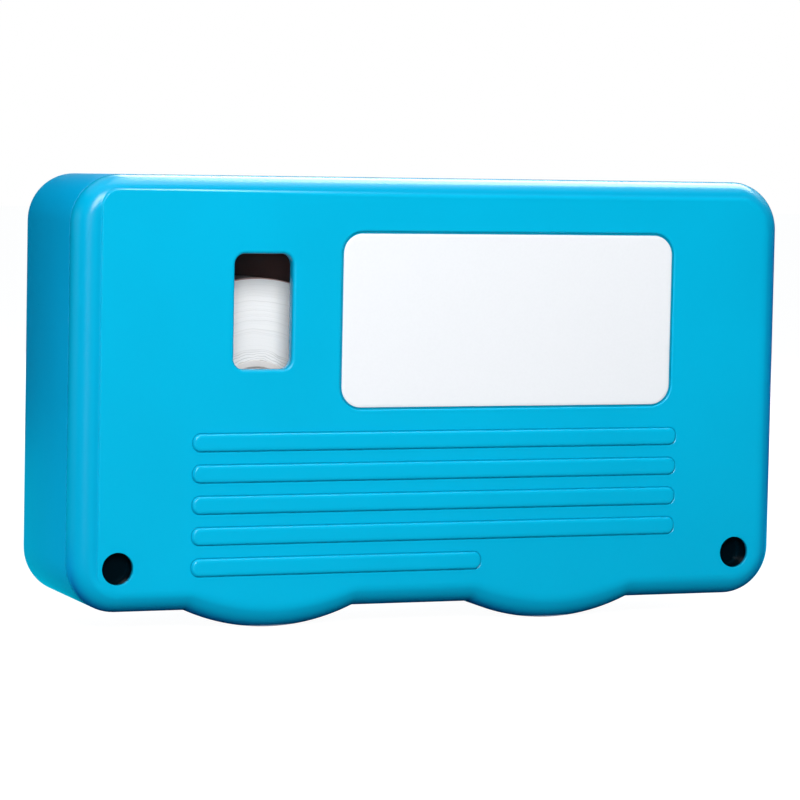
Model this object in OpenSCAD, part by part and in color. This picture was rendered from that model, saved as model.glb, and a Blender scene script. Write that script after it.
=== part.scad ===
// Fibre optic cleaning cassette, in millimetres.
// A hand-held box with a tape cartridge inside. Pressing the lever on the right side slides the shutter
// on top open and winds fresh cleaning tape across the aperture, from the supply reel to the take-up reel.
// Everything is drawn in the housing's own coordinates: X across from its middle, Y from the front face
// to the back, Z up from its straight bottom edge. in_place() then stands the part on its two bulges.

/* [Housing] */
// Width of the housing
body_w = 136; // [134:1:142]
// Height of the housing above its straight bottom edge
body_h = 76; // [75.5:0.5:80]
// Depth from the front face to the back face
body_d = 33; // [33:0.5:36]
// Radius of the corners, seen from the front
corner_r = 8.8; // [8.4:0.2:10.4]
// Rounding of the front edges
front_edge_r = 3.5; // [3:0.1:4]
// Rounding of the back edges
back_edge_r = 3.6; // [2.6:0.1:4]
// Wall of the deep rear tray
tray_wall = 2.2; // [1.8:0.1:2.3]
// Wall of the front cover
cover_wall = 2; // [1.6:0.1:2.2]
// Lean of each tray wall, from the parting line to the back
wall_lean = 0.4; // [0.2:0.1:0.6]
// Open line between the front cover and the tray
seam_gap = 0.2; // [0.1:0.05:0.3]
// How far the two reel bulges drop below the straight bottom edge
bulge_drop = 3.4; // [2.8:0.1:4]

/* [Front face] */
// Height of the raised field above the shoulder round it
field_rise = 0.2; // [0.1:0.05:0.3]
// Shoulder beside the raised field
field_side = 4.5; // [4.1:0.1:5]
// Shoulder above and below the raised field
field_end = 2.4; // [2:0.1:3]
// Corner radius of the raised field
field_r = 3.2; // [2.5:0.1:4]
// Width of the label
label_w = 64.2; // [58:0.5:66]
// Margin between the label and the top of the housing
label_top = 9.85; // [9:0.05:12]
// Distance from the highest rib up to the label
label_foot = 4.05; // [3:0.05:6]
// Thickness of the label
label_t = 0.18; // [0.1:0.02:0.3]
// Depth of the recess that the label lies in
label_recess = 0.3; // [0.3:0.05:0.5]
// Gap round the label in its recess
label_gap = 0.4; // [0.2:0.1:0.6]
// Corner radius of the label
label_r = 3.6; // [2.5:0.1:4.5]
// Width of the window on the supply reel
window_w = 10.8; // [9:0.2:12]
// Margin between the window and the top of the housing
window_top = 13.5; // [12:0.1:16]
// Distance from the highest rib up to the window
window_foot = 10.9; // [9:0.1:13]
// Corner radius of the window
window_r = 1.9; // [1:0.1:2.5]

/* [Grip ribs] */
// Length of the four long ribs
rib_len = 93.4; // [84:0.2:96]
// Length of the short lowest rib
short_rib_len = 55; // [40:1:70]
// Height of each rib, seen from the front
rib_w = 3.4; // [3.1:0.1:4]
// Spacing of the ribs
rib_pitch = 5.46; // [5:0.02:5.6]
// How far the ribs stand out of the face
rib_rise = 0.4; // [0.3:0.05:0.6]
// Corner radius of each rib
rib_r = 1.4; // [0.4:0.1:1.5]
// Number of ribs, the lowest one short
rib_count = 5; // [3:1:5]

/* [Cover screws] */
// Distance of each screw from the side of the housing
screw_side = 7.9; // [7.6:0.1:8.4]
// Height of each screw above the straight bottom edge
screw_up = 8.1; // [7.8:0.1:8.6]
// Radius of the deep recess that the screw head lies in
screw_recess_r = 2.83; // [2.7:0.01:2.95]
// Radius of the screw head
screw_head_r = 2.5; // [2.2:0.1:2.6]
// Radius of the screw shank
screw_shank_r = 1.4; // [1.2:0.05:1.5]
// Depth of the recess from the front face
screw_sink = 13.6; // [11:0.2:14]

/* [Reels and tape] */
// Distance between the two reel axes
reel_pitch = 54; // [53:0.5:56]
// Height of the reel axes above the straight bottom edge
reel_z = 34.8; // [34:0.2:36]
// Width of the cleaning tape
tape_w = 10.5; // [9:0.5:11]
// Tape left on the supply reel, as a share of the radius that it has room for
supply_share = 0.7052; // [0.5:0.0002:0.88]
// Radius of the used tape on the take-up reel
takeup_r = 10.6; // [10:0.2:14]
// Radius of the reel hubs
hub_r = 8.4; // [8:0.1:8.8]
// Thickness of the free tape strand
strand_t = 0.2; // [0.14:0.02:0.3]

/* [Cartridge] */
// Thickness of the cartridge's base plate
base_t = 1.8; // [1.4:0.1:1.9]
// Radius of the supply reel's post
supply_post_r = 4; // [3:0.1:4.4]
// Radius of the steel guide pins
guide_pin_r = 2; // [1.6:0.1:2.2]
// Distance between the two guide pins
guide_pitch = 25.4; // [24:0.2:28]
// Thickness of the rubber backing pad
pad_t = 2.5; // [2:0.1:3]

/* [Cleaning aperture and shutter] */
// Length of the aperture along the tape
aperture_len = 10.4; // [8:0.2:10.8]
// Width of the aperture across the tape
aperture_w = 8.2; // [6:0.2:8.6]
// Travel of the shutter from closed to open
shutter_travel = 12; // [11.5:0.1:12.4]
// Length of the shutter
shutter_len = 40.6; // [34:0.2:41]
// Thickness of the shutter
shutter_t = 0.9; // [0.8:0.05:1]
// Depth of the track that the shutter lies in
track_depth = 1; // [0.8:0.05:1.1]

/* [Lever] */
// How far the lever's pad stands out of the side wall
lever_reach = 6.6; // [5:0.1:7]
// Height of the lever's pivot above the straight bottom edge
pivot_up = 18.561; // [18.161:0.1:19.561]
// Radius of the steel pivot pin
lever_pin_r = 2; // [1.6:0.1:2.2]
// Width of the lever's pad, across the side wall
lever_pad_w = 10.8; // [9:0.1:11]
// Radius of the drive pin at the lever's end
drive_pin_r = 1.5; // [1.2:0.05:1.6]

/* [Drive] */
// Size of the rack and pinion teeth, as the gear module
gear_module = 1; // [0.98:0.01:1.04]
// Number of teeth on the pinion
pinion_teeth = 12; // [12:1:13]
// Thickness of the slide plate that carries the rack
slide_t = 1.8; // [1.5:0.1:2]
// Radius of the ratchet wheel over its teeth
ratchet_r = 7.6; // [7.3:0.1:7.8]
// Radius of the fixed post that the take-up reel turns on
spindle_post_r = 2.2; // [1.8:0.1:2.4]

/* [Hidden] */
$fn = 96;

// Clearances: a running fit round a shaft, a push fit, a seat, a gap between moving faces, a cut's overrun
fit = 0.07;
push_fit = 0.02;
seat = 0.05;
gap = 0.3;
over = 0.5;

// Housing
half_w = body_w / 2;
seam_y = field_rise + front_edge_r;
tray_y0 = seam_y + seam_gap;
back_in = body_d - tray_wall;
top_in = body_h - tray_wall;
corner_x = half_w - corner_r;
corner_zs = [corner_r, body_h - corner_r];
inner_edge_r = 1.4;

// Reels, left and right, and the reel stops that the cover has in front of them
reel_mid_x = -3.7;
supply_x = reel_mid_x - reel_pitch / 2;
takeup_x = reel_mid_x + reel_pitch / 2;
reel_xs = [supply_x, takeup_x];
bulge_r = reel_z + bulge_drop;

// Layers, from the back wall forward: slide plate, pinion flange, ratchet, base plate, hubs and tape
rail_rise = 0.3;
slide_y1 = back_in - rail_rise - gap;
slide_y0 = slide_y1 - slide_t;
flange_t = 1.4;
flange_y1 = slide_y0 - gap;
flange_y0 = flange_y1 - flange_t;
ratchet_t = 1.6;
ratchet_y1 = flange_y0 - gap;
ratchet_y0 = ratchet_y1 - ratchet_t;
base_y1 = ratchet_y0 - 1.5 * gap;
base_y0 = base_y1 - base_t;
hub_lip = 0.2;
hub_y1 = base_y0 - 2 * gap;
tape_y1 = hub_y1 - hub_lip;
tape_y0 = tape_y1 - tape_w;
hub_y0 = tape_y0 - hub_lip;
reel_stop_r = 6.4;
reel_stop_wall = 1.4;
reel_stop_y1 = hub_y0 - 3 * gap;

// Label, window and ribs on the face
label_x = 13.4;
window_x = -33.6;
rib_x0 = -46.3;
rib_top_z = 31.4;
label_h = body_h - label_top - rib_top_z - label_foot;
label_z = rib_top_z + label_foot + label_h / 2;
window_h = body_h - window_top - rib_top_z - window_foot;
window_z = rib_top_z + window_foot + window_h / 2;

// Cover: the tongue inside its rim, snap hooks along its top edge and posts that hold the cartridge down
tongue_t = 1;
tongue_depth = 2.5;
tongue_fit = 0.15;
tongue_in = tray_wall + tongue_fit + tongue_t;
tongue_y1 = tray_y0 + tongue_depth;
hook_x_shares = [-0.68, 0.25, 0.65];
hook_w = 8;
hook_t = 1.4;
hook_nose = 0.5;
hook_z1 = top_in - tongue_t;
catch_t = 1.1;
catch_y0 = tongue_y1 + gap;
hook_nose_y0 = catch_y0 + catch_t + gap;
hook_y1 = hook_nose_y0 + 1.7 * catch_t;
holddown_r = 2;

// Screws
screw_xs = [-half_w + screw_side, half_w - screw_side];
screw_floor_t = 2;
screw_tube_wall = 1.1;
screw_tube_y1 = screw_sink + screw_floor_t;
screw_boss_r = screw_recess_r + screw_tube_wall - gap;
screw_head_t = 1.7;
screw_slot = 0.8;
screw_hole_r = screw_shank_r + gap;
screw_end_y = back_in - 3 * gap;
screw_end_play = 2.8;
screw_len = screw_end_y - screw_sink - screw_end_play;

// Free tape strand: up from the supply reel, over the two guide pins and down to the take-up reel
strand_drop = 4.1;
strand_top_z = top_in - strand_drop;
guide_z = strand_top_z - strand_t - gap - guide_pin_r;
guide_xs = [reel_mid_x - guide_pitch / 2, reel_mid_x + guide_pitch / 2];
guide_overhang = 1.1;
guide_y0 = tape_y0 - guide_overhang;

// Tape on the supply reel: a full reel would leave the strand's room beside the nearer guide pin
strand_room = 0.8;
full_r = norm([guide_xs[0] - supply_x, guide_z - reel_z]) - guide_pin_r - strand_room;
supply_r = supply_share * full_r;

// Cleaning aperture and shutter: closed at rest, the shutter opens towards the left
aperture_x0 = reel_mid_x - aperture_len / 2;
aperture_x1 = reel_mid_x + aperture_len / 2;
aperture_y0 = (tape_y0 + tape_y1 - aperture_w) / 2;
aperture_y1 = aperture_y0 + aperture_w;
aperture_r = 1.2;
shutter_lap = 0.6;
shutter_x1 = aperture_x1 + shutter_lap;
shutter_x0 = shutter_x1 - shutter_len;
shutter_side = (tape_y0 - tray_y0) / 4.9;
shutter_y0 = tape_y0 - shutter_side;
track_z = body_h - track_depth;
leg_w = 5;
leg_t = 2;
leg_margin = 1.4;
leg_x1 = shutter_x1 - shutter_travel - leg_margin;
leg_x0 = leg_x1 - leg_w;
leg_y0 = base_y1 + gap;
leg_y1 = leg_y0 + leg_t;
shutter_y1 = leg_y1 + shutter_lap;

// Slide plate: a strip along the top with a riser down to the rack
slide_drop = 3.2;
slide_h = 7.2;
slide_z1 = top_in - slide_drop;
slide_z0 = slide_z1 - slide_h;
slide_end = 4.4;
slide_x0 = leg_x0 - slide_end;
foot_h = 2.8;
foot_z0 = slide_z0 + (slide_h - foot_h) / 2;
foot_side = 0.5;
foot_fit = 0.1;

// Lever: it leans out at rest by as much as it leans in when pressed
pivot_inset = 13.5;
pivot_x = half_w - pivot_inset;
pivot_z = pivot_up;
tip_z = slide_z1 - slide_h / 3;
tip_x = pivot_x + shutter_travel / 2;
lever_arm = norm([tip_x - pivot_x, tip_z - pivot_z]);
slide_tip_end = 3.4;
slide_x1 = tip_x + slide_tip_end;
slide_r = 1.5;
arm_y0 = base_y1 + gap;
arm_y1 = slide_y0 - gap;
lever_hub_r = 4.4;
lever_hub_len = 2;
lever_hub_y0 = base_y0 - lever_hub_len;
lever_tip_r = 2.4;
pivot_tube_r = 3.2;
pivot_tube_y1 = lever_hub_y0 - gap;

// Thumb pad of the lever: it stands out furthest near its upper end
pad_y1 = base_y1 + gap;
pad_y0 = pad_y1 - lever_pad_w;
pad_rise = 4.4;
pad_h = 0.712 * lever_arm;
pad_z0 = pivot_z + pad_rise;
pad_z1 = pad_z0 + pad_h;
pad_top_r = 3;
pad_edge_r = 2.2;
pad_wall = 1.8;
pad_crown_drop = 4;
pad_low = 1;
pad_depth = 6;
pad_in_x = half_w - pad_depth;
pad_gap = 0.4;

// Pinion and rack: stub teeth, so that the small pinion is not undercut
pinion_r = gear_module * pinion_teeth / 2;
tooth_add = 0.7 * gear_module;
tooth_ded = 0.9 * gear_module;
tooth_backlash = 0.2 * gear_module;
pressure_angle = 20;
flank_steps = 5;
rack_pitch = PI * gear_module;
rack_z = reel_z + pinion_r;
rack_root_z = rack_z + tooth_ded;
rack_first = -2;
rack_last = ceil(shutter_travel / rack_pitch) + 1;
rack_bar = 4.6;
riser_w = 16;
riser_x0 = takeup_x - gear_module;
riser_x1 = riser_x0 + riser_w;
riser_rim = 4;
flange_r = 12.5;
shoulder_w = 1.4;

// Ratchet wheel, drive pawl and backstop leaf, with angles seen from the front round the take-up axis
ratchet_teeth = 12;
ratchet_depth = 1.2;
ratchet_root_r = ratchet_r - ratchet_depth;
ratchet_step = 360 / ratchet_teeth;
pawl_valley_a = 150;
pawl_pin_a = 100;
pawl_pin_orbit = 10.3;
pawl_pin_r = 1.1;
pawl_boss_r = 2.1;
pawl_play = 0.4;
pawl_relief = 0.1;
pawl_peg_a = 146;
pawl_peg_orbit = 11.4;
pawl_peg_r = 0.7;
pawl_pin = polar(pawl_pin_orbit, pawl_pin_a);
pawl_peg = polar(pawl_peg_orbit, pawl_peg_a);
leaf_valley_a = 330;
leaf_post_a = 286;
leaf_post_orbit = 15.6;
leaf_post_r = 1.8;
leaf_t = 0.4;

// Stands the housing on its bulges, with the origin midway across everything and midway in depth
module in_place()
    translate([-lever_reach / 2, -(body_d - rib_rise) / 2, bulge_drop])
        children();

function polar(r, a) = [r * cos(a), r * sin(a)];

// Extrudes an outline drawn in X and Z, from depth y0 back to depth y1
module upright(y0, y1)
    translate([0, y1, 0])
        rotate([90, 0, 0])
            linear_extrude(height = y1 - y0)
                children();

// A round bar along Y at x, z
module bar(x, z, r, y0, y1)
    translate([x, y1, z])
        rotate([90, 0, 0])
            cylinder(r = r, h = y1 - y0);

// A rectangle from corner to corner with round corners
module round_rect(x0, z0, x1, z1, r) {
    translate([x0 + r, z0])
        square([x1 - x0 - 2 * r, z1 - z0]);
    translate([x0, z0 + r])
        square([x1 - x0, z1 - z0 - 2 * r]);
    for (x = [x0 + r, x1 - r], z = [z0 + r, z1 - r])
        translate([x, z])
            circle(r = r);
}

// Half of the housing's section, from its middle out to reach: round front edge rf, round back edge rb
module half_section(reach, y0, y1, rf, rb, lean) {
    back = reach - lean;
    polygon(concat(
        rf > 0 ? [[0, y0], [reach - rf, y0], [reach - rf, y0 + rf]] : [[0, y0]],
        [[reach, y0 + rf], [back, y1 - rb]],
        rb > 0 ? [[back - rb, y1 - rb], [back - rb, y1]] : [],
        [[0, y1]]));
    if (rf > 0)
        translate([reach - rf, y0 + rf])
            intersection() {
                circle(r = rf);
                translate([0, -rf])
                    square(rf);
            }
    if (rb > 0)
        translate([back - rb, y1 - rb])
            intersection() {
                circle(r = rb);
                square(rb);
            }
}

// The housing's rounded box, taken in by inset on every side
module round_box(inset, y0, y1, rf, rb, lean) {
    translate([0, 0, corner_zs[0]])
        linear_extrude(height = corner_zs[1] - corner_zs[0])
            for (side = [0, 1])
                mirror([side, 0])
                    half_section(half_w - inset, y0, y1, rf, rb, lean);
    translate([-corner_x, 0, body_h / 2])
        rotate([90, 0, 90])
            linear_extrude(height = 2 * corner_x)
                for (side = [0, 1])
                    mirror([0, side])
                        rotate([0, 0, 90])
                            mirror([0, 1])
                                half_section(body_h / 2 - inset, y0, y1, rf, rb, lean);
    for (quarter = [0 : 3])
        translate([quarter == 0 || quarter == 3 ? corner_x : -corner_x, 0, corner_zs[quarter < 2 ? 1 : 0]])
            rotate([-90, 0, 0])
                rotate([0, 0, -90 * (quarter + 1)])
                    rotate_extrude(angle = 90)
                        half_section(corner_r - inset, y0, y1, rf, rb, lean);
}

// The two bulges that the full reels need below the straight bottom edge
module bulges(inset, y0, y1, rf, rb, lean)
    intersection() {
        for (x = reel_xs)
            translate([x, 0, reel_z])
                rotate([-90, 0, 0])
                    rotate_extrude()
                        half_section(bulge_r - inset, y0, y1, rf, rb, lean);
        translate([-half_w, y0 - over, -bulge_drop - over])
            cube([body_w, y1 - y0 + 2 * over, bulge_drop + corner_r + over]);
    }

module housing_form(inset, y0, y1, rf, rb, lean) {
    round_box(inset, y0, y1, rf, rb, lean);
    bulges(inset, y0, y1, rf, rb, lean);
}

// The same outline drawn flat, for the cover's tongue
module housing_outline(inset) {
    round_rect(-half_w + inset, inset, half_w - inset, body_h - inset, corner_r - inset);
    intersection() {
        for (x = reel_xs)
            translate([x, reel_z])
                circle(r = bulge_r - inset);
        translate([-half_w + inset, -bulge_drop])
            square([body_w - 2 * inset, bulge_drop + corner_r]);
    }
}

// Front cover: a shallow shell with the label recess, the window, the grip ribs and two screw tubes
module rib(i) {
    length = i == rib_count - 1 ? short_rib_len : rib_len;
    top = rib_top_z - i * rib_pitch;
    upright(-rib_rise, field_rise + over)
        round_rect(rib_x0, top - rib_w, rib_x0 + length, top, rib_r);
}

module label_outline(margin)
    round_rect(label_x - label_w / 2 - margin, label_z - label_h / 2 - margin,
        label_x + label_w / 2 + margin, label_z + label_h / 2 + margin, label_r + margin);

// Snap hook inside the top edge: its nose passes under the tray's catch and holds behind it
module snap_hook(x) {
    translate([x - hook_w / 2, cover_wall - over, hook_z1 - hook_t])
        cube([hook_w, hook_y1 - cover_wall + over, hook_t]);
    translate([x - hook_w / 2, hook_nose_y0, hook_z1 - hook_t])
        cube([hook_w, hook_y1 - hook_nose_y0, hook_t + hook_nose]);
}

module front_cover()
    color([0, 0.71, 0.89])
        in_place()
            difference() {
                union() {
                    difference() {
                        union() {
                            housing_form(0, field_rise, seam_y, front_edge_r, 0, 0);
                            upright(seam_y - over, tongue_y1)
                                housing_outline(tray_wall + tongue_fit);
                        }
                        housing_form(tongue_in, cover_wall, tongue_y1 + over, inner_edge_r, 0, 0);
                    }
                    upright(0, field_rise + over)
                        round_rect(-half_w + field_side, field_end, half_w - field_side,
                            body_h - field_end, field_r);
                    for (i = [0 : rib_count - 1])
                        rib(i);
                    for (x = screw_xs)
                        bar(x, screw_up, screw_recess_r + screw_tube_wall, cover_wall - over, screw_tube_y1);
                    for (x = reel_xs)
                        bar(x, reel_z, reel_stop_r, cover_wall - over, reel_stop_y1);
                    for (p = holddowns)
                        bar(p[0], p[1], holddown_r, cover_wall - over, base_y0 - gap);
                    bar(pivot_x, pivot_z, pivot_tube_r, cover_wall - over, pivot_tube_y1);
                    bar(spring_stop_x, spring_stop_z, spring_stop_r, cover_wall - over,
                        spring_y0 + 2 * spring_stop_r);
                    for (share = hook_x_shares)
                        snap_hook(share * half_w);
                }
                upright(-over, label_recess)
                    label_outline(label_gap);
                upright(-over, cover_wall + over)
                    round_rect(window_x - window_w / 2, window_z - window_h / 2,
                        window_x + window_w / 2, window_z + window_h / 2, window_r);
                for (x = screw_xs) {
                    bar(x, screw_up, screw_recess_r, -over, screw_sink);
                    bar(x, screw_up, screw_hole_r, screw_sink - over, screw_tube_y1 + over);
                }
                for (x = reel_xs)
                    bar(x, reel_z, reel_stop_r - reel_stop_wall, cover_wall, hub_y0);
                bar(pivot_x, pivot_z, lever_pin_r + push_fit, cover_wall + over, pivot_tube_y1 + over);
            }

// Rear tray: the deep shell with the shutter's track and aperture on top and the lever's slot at the right
base_side = 6;
base_pivot_gap = 5.6;
base_r = 8;
base_rim = 0.8;
base_x0 = -half_w + base_side;
base_x1 = pivot_x - base_pivot_gap;
base_z0 = tray_wall + 1.25 * base_rim;
base_z1 = guide_z + base_rim;
base_posts = [
    [base_x0 + 0.75 * base_r, base_z1 - 1.02 * base_r],
    [base_x0 + base_r, base_z0 + 1.6 * base_r],
    [base_x1 - 0.7 * base_r, base_z1 - 1.77 * base_r],
    [base_x1 - 0.86 * base_r, base_z0 + 0.73 * base_r]];
holddowns = [
    [base_x0 + 0.5 * base_r, base_z1 - 0.53 * base_r],
    [base_x1 - 0.52 * base_r, base_z1 - 0.72 * base_r]];
base_post_r = 2.6;
base_peg_r = 1.5;
base_peg_fit = 0.1;
ledge_t = 1.6;
rail_w = 1;
groove_depth = 0.45;
clip_t = 0.5;
clip_y0 = hub_y0 + 1.6 * clip_t;
spindle_y0 = clip_y0 + clip_t + 2 * seat;

// Rails and ledges that guide the slide plate along the back wall
module slide_guides() {
    left = slide_x0 - shutter_travel;
    for (z = [slide_z0 + rail_w, slide_z1 - 2 * rail_w])
        translate([left, back_in - rail_rise, z])
            cube([slide_x1 - left, rail_rise + over, rail_w]);
    translate([left, slide_y0, slide_z1 + gap])
        cube([tip_x - shutter_travel - left, back_in - slide_y0 + over, top_in - slide_z1 - gap]);
    translate([left, slide_y0, slide_z0 - gap - ledge_t])
        cube([riser_x0 - shutter_travel - ledge_t - left, back_in - slide_y0 + over, ledge_t]);
}

// The recess on top that the shutter slides in, with the cleaning aperture and the slot for its leg
module track_cut() {
    cut_z = top_in - over - wall_lean;
    translate([shutter_x0 - shutter_travel - gap, shutter_y0 - gap, track_z])
        cube([shutter_len + shutter_travel + 2 * gap, shutter_y1 - shutter_y0 + 2 * gap, track_depth + over]);
    translate([0, 0, cut_z])
        linear_extrude(height = body_h - cut_z)
            round_rect(aperture_x0, aperture_y0, aperture_x1, aperture_y1, aperture_r);
    translate([leg_x0 - shutter_travel - gap, leg_y0 - gap / 2, cut_z])
        cube([leg_w + shutter_travel + 2 * gap, leg_t + gap, body_h - cut_z]);
}

module rear_tray()
    color([0, 0.66, 0.86])
        in_place()
            difference() {
                union() {
                    difference() {
                        housing_form(0, tray_y0, body_d, 0, back_edge_r, wall_lean);
                        housing_form(tray_wall, tray_y0 - over, back_in, 0, inner_edge_r, wall_lean);
                    }
                    for (x = screw_xs)
                        bar(x, screw_up, screw_boss_r, screw_tube_y1 + gap, back_in + over);
                    for (p = base_posts) {
                        bar(p[0], p[1], base_post_r, base_y1, back_in + over);
                        bar(p[0], p[1], base_peg_r, base_y0, base_y1 + over);
                    }
                    bar(takeup_x, reel_z, spindle_post_r, clip_y0 - clip_t, back_in + over);
                    bar(takeup_x, reel_z, spindle_post_r + shoulder_w, slide_y1 + gap, back_in + over);
                    bar(pivot_x, pivot_z, lever_hub_r, arm_y1 + gap, back_in + over);
                    translate([takeup_x, 0, reel_z])
                        bar(leaf_root[0], leaf_root[1], leaf_post_r, ratchet_y0, back_in + over);
                    slide_guides();
                    for (share = hook_x_shares)
                        translate([share * half_w - hook_w / 2, catch_y0, hook_z1 + tongue_fit])
                            cube([hook_w, catch_t, top_in - hook_z1 - tongue_fit + over]);
                }
                track_cut();
                for (x = screw_xs)
                    bar(x, screw_up, screw_shank_r + push_fit, screw_tube_y1, screw_end_y);
                bar(pivot_x, pivot_z, lever_pin_r + push_fit, arm_y1, back_in);
                translate([corner_x, pad_y0 - pad_gap, pad_z0 - pad_gap])
                    cube([corner_r + over, lever_pad_w + 2 * pad_gap, pad_h + pad_crown_drop]);
                difference() {
                    bar(takeup_x, reel_z, spindle_post_r + over, clip_y0, clip_y0 + clip_t + seat);
                    bar(takeup_x, reel_z, spindle_post_r - groove_depth,
                        clip_y0 - over, clip_y0 + clip_t + over);
                }
            }

module label()
    color([0.93, 0.95, 0.97])
        in_place()
            upright(label_recess - label_t, label_recess)
                label_outline(0);

// Two pan-head screws with cross recesses
module cover_screws()
    color([0.35, 0.36, 0.38])
        in_place()
            for (x = screw_xs)
                difference() {
                    union() {
                        bar(x, screw_up, screw_head_r, screw_sink - screw_head_t, screw_sink);
                        bar(x, screw_up, screw_shank_r, screw_sink - over, screw_sink + screw_len);
                    }
                    for (turn = [45, 135])
                        translate([x, screw_sink - screw_head_t, screw_up])
                            rotate([0, turn, 0])
                                cube([1.2 * screw_head_r, screw_head_t, screw_slot], center = true);
                }

// Lever: a crowned thumb pad on a web, an arm and the drive pin that moves the slide plate
module thumb_pad() {
    crown_z = pad_z1 - pad_crown_drop;
    drop = crown_z - pad_z0;
    rise = lever_reach - pad_low;
    crown_r = (drop * drop + rise * rise) / (2 * rise);
    intersection() {
        translate([half_w + lever_reach - crown_r, 0, crown_z])
            rotate([-90, 0, 0])
                rotate_extrude($fn = 360)
                    half_section(crown_r, pad_y0, pad_y1, pad_edge_r, pad_edge_r, 0);
        upright(pad_y0 - over, pad_y1 + over) {
            translate([pad_in_x, pad_z0])
                square([half_w + lever_reach + over - pad_top_r - pad_in_x, pad_h]);
            translate([pad_in_x, pad_z0])
                square([half_w + lever_reach + over - pad_in_x, pad_h - pad_top_r]);
            translate([half_w + lever_reach + over - pad_top_r, pad_z1 - pad_top_r])
                circle(r = pad_top_r);
        }
    }
}

module lever()
    color([0.02, 0.6, 0.8])
        in_place()
            difference() {
                union() {
                    difference() {
                        thumb_pad();
                        translate([pad_in_x - over, pad_y0 + pad_wall, pad_z0 + pad_wall])
                            cube([pad_depth + over, lever_pad_w - 2 * pad_wall, pad_h - 2 * pad_wall]);
                    }
                    translate([pad_in_x, pad_y0 + over, pivot_z + spring_end[1] - pad_wall / 2])
                        cube([pad_depth + over, lever_pad_w - 2 * over, pad_wall]);
                    translate([pad_in_x, pad_y1 - pad_wall, pad_z0 + over])
                        cube([pad_wall + over, arm_y1 - pad_y1 + pad_wall, pad_h - pad_crown_drop - over]);
                    upright(arm_y0, arm_y1)
                        polygon([
                            [pivot_x - 0.7 * lever_hub_r, pivot_z],
                            [pivot_x + 0.7 * lever_hub_r, pivot_z],
                            [pad_in_x + over, pad_z0 + pad_crown_drop],
                            [pad_in_x + over, pad_z1 - pad_depth],
                            [tip_x + 0.8 * lever_tip_r, tip_z],
                            [tip_x - 0.9 * lever_tip_r, tip_z],
                            [pivot_x + 0.3 * lever_hub_r, pivot_z + lever_arm / 2]]);
                    bar(pivot_x, pivot_z, lever_hub_r, lever_hub_y0, arm_y1);
                    bar(tip_x, tip_z, lever_tip_r, arm_y0, arm_y1);
                    bar(tip_x, tip_z, drive_pin_r, arm_y0, slide_y1);
                }
                bar(pivot_x, pivot_z, lever_pin_r + fit, lever_hub_y0 - over, arm_y1 + over);
            }

module lever_pin()
    color([0.75, 0.76, 0.78])
        in_place()
            bar(pivot_x, pivot_z, lever_pin_r, cover_wall + 2 * over, back_in - gap);

// Torsion spring round the pivot tube: one leg bears on the cover's stop, the other on a rib in the thumb pad
spring_wire_r = 0.4;
spring_turns = 4.125;
spring_pitch = 0.95;
spring_r = pivot_tube_r + 2.5 * spring_wire_r;
spring_len = spring_turns * spring_pitch;
spring_y0 = lever_hub_y0 - gap - spring_wire_r - spring_len;
spring_steps = 16;
spring_sides = 6;
spring_leg = 10;
spring_exit_a = 180 - 360 * spring_turns;
spring_exit = polar(spring_r, spring_exit_a);
spring_reach = pad_in_x - gap - spring_wire_r - pivot_x;
spring_end = spring_exit + (spring_reach - spring_exit[0]) / sin(spring_exit_a) * [sin(spring_exit_a),
    -cos(spring_exit_a)];
spring_stop_r = 1.2;
spring_stop_x = pivot_x - spring_r + spring_wire_r + seat + spring_stop_r;
spring_stop_z = pivot_z - spring_leg + spring_stop_r;

function ring_at(c, dir, r, n) =
    let (side = [dir[2], 0, -dir[0]] / norm([dir[2], 0, -dir[0]]), up = cross(dir, side) / norm(dir))
    [for (k = [0 : n - 1]) c + r * (cos(360 * k / n) * side + sin(360 * k / n) * up)];

// A tube of n sides through the points, as one closed mesh
module wire(points, r, n) {
    last = len(points) - 1;
    rings = [for (i = [0 : last])
        let (dir = points[min(i + 1, last)] - points[max(i - 1, 0)])
        ring_at(points[i], dir, r, n)];
    polyhedron(
        points = [for (ring = rings, p = ring) p],
        faces = concat(
            [[for (k = [0 : n - 1]) k]],
            [for (i = [0 : last - 1], k = [0 : n - 1])
                let (a = i * n + k, b = i * n + (k + 1) % n)
                [a, a + n, b + n, b]],
            [[for (k = [n - 1 : -1 : 0]) last * n + k]]));
}

// The spring's middle line round the pivot, from the leg on the stop, round the coil, to the leg in the pad
spring_path = concat(
    [[-spring_r, 0, -spring_leg]],
    [for (i = [0 : round(spring_turns * spring_steps)])
        let (a = 180 - 360 * i / spring_steps)
        [spring_r * cos(a), spring_pitch * i / spring_steps, spring_r * sin(a)]],
    [[spring_end[0], spring_len, spring_end[1]]]);

module lever_spring()
    color([0.7, 0.71, 0.73])
        in_place()
            translate([pivot_x, spring_y0, pivot_z])
                wire(spring_path, spring_wire_r, spring_sides);

// Shutter: the plate on top, with a leg through the wall and a foot in the slide plate
module shutter()
    color([0.1, 0.12, 0.14])
        in_place() {
            translate([shutter_x0, shutter_y0, track_z + seat])
                cube([shutter_len, shutter_y1 - shutter_y0, shutter_t]);
            translate([leg_x0, leg_y0, foot_z0])
                cube([leg_w, leg_t, track_z + over - foot_z0]);
            translate([leg_x0 + foot_side, leg_y0, foot_z0])
                cube([leg_w - 2 * foot_side, slide_y1 - leg_y0, foot_h]);
        }

// One rack tooth, pointing down to the pinion, centred on x
module rack_tooth(x) {
    half = rack_pitch / 4 - tooth_backlash / 4;
    slope = tan(pressure_angle);
    root = half + slope * (tooth_ded + over);
    polygon([[x - root, rack_root_z + over], [x - half + slope * tooth_add, rack_z - tooth_add],
        [x + half - slope * tooth_add, rack_z - tooth_add], [x + root, rack_root_z + over]]);
}

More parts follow.
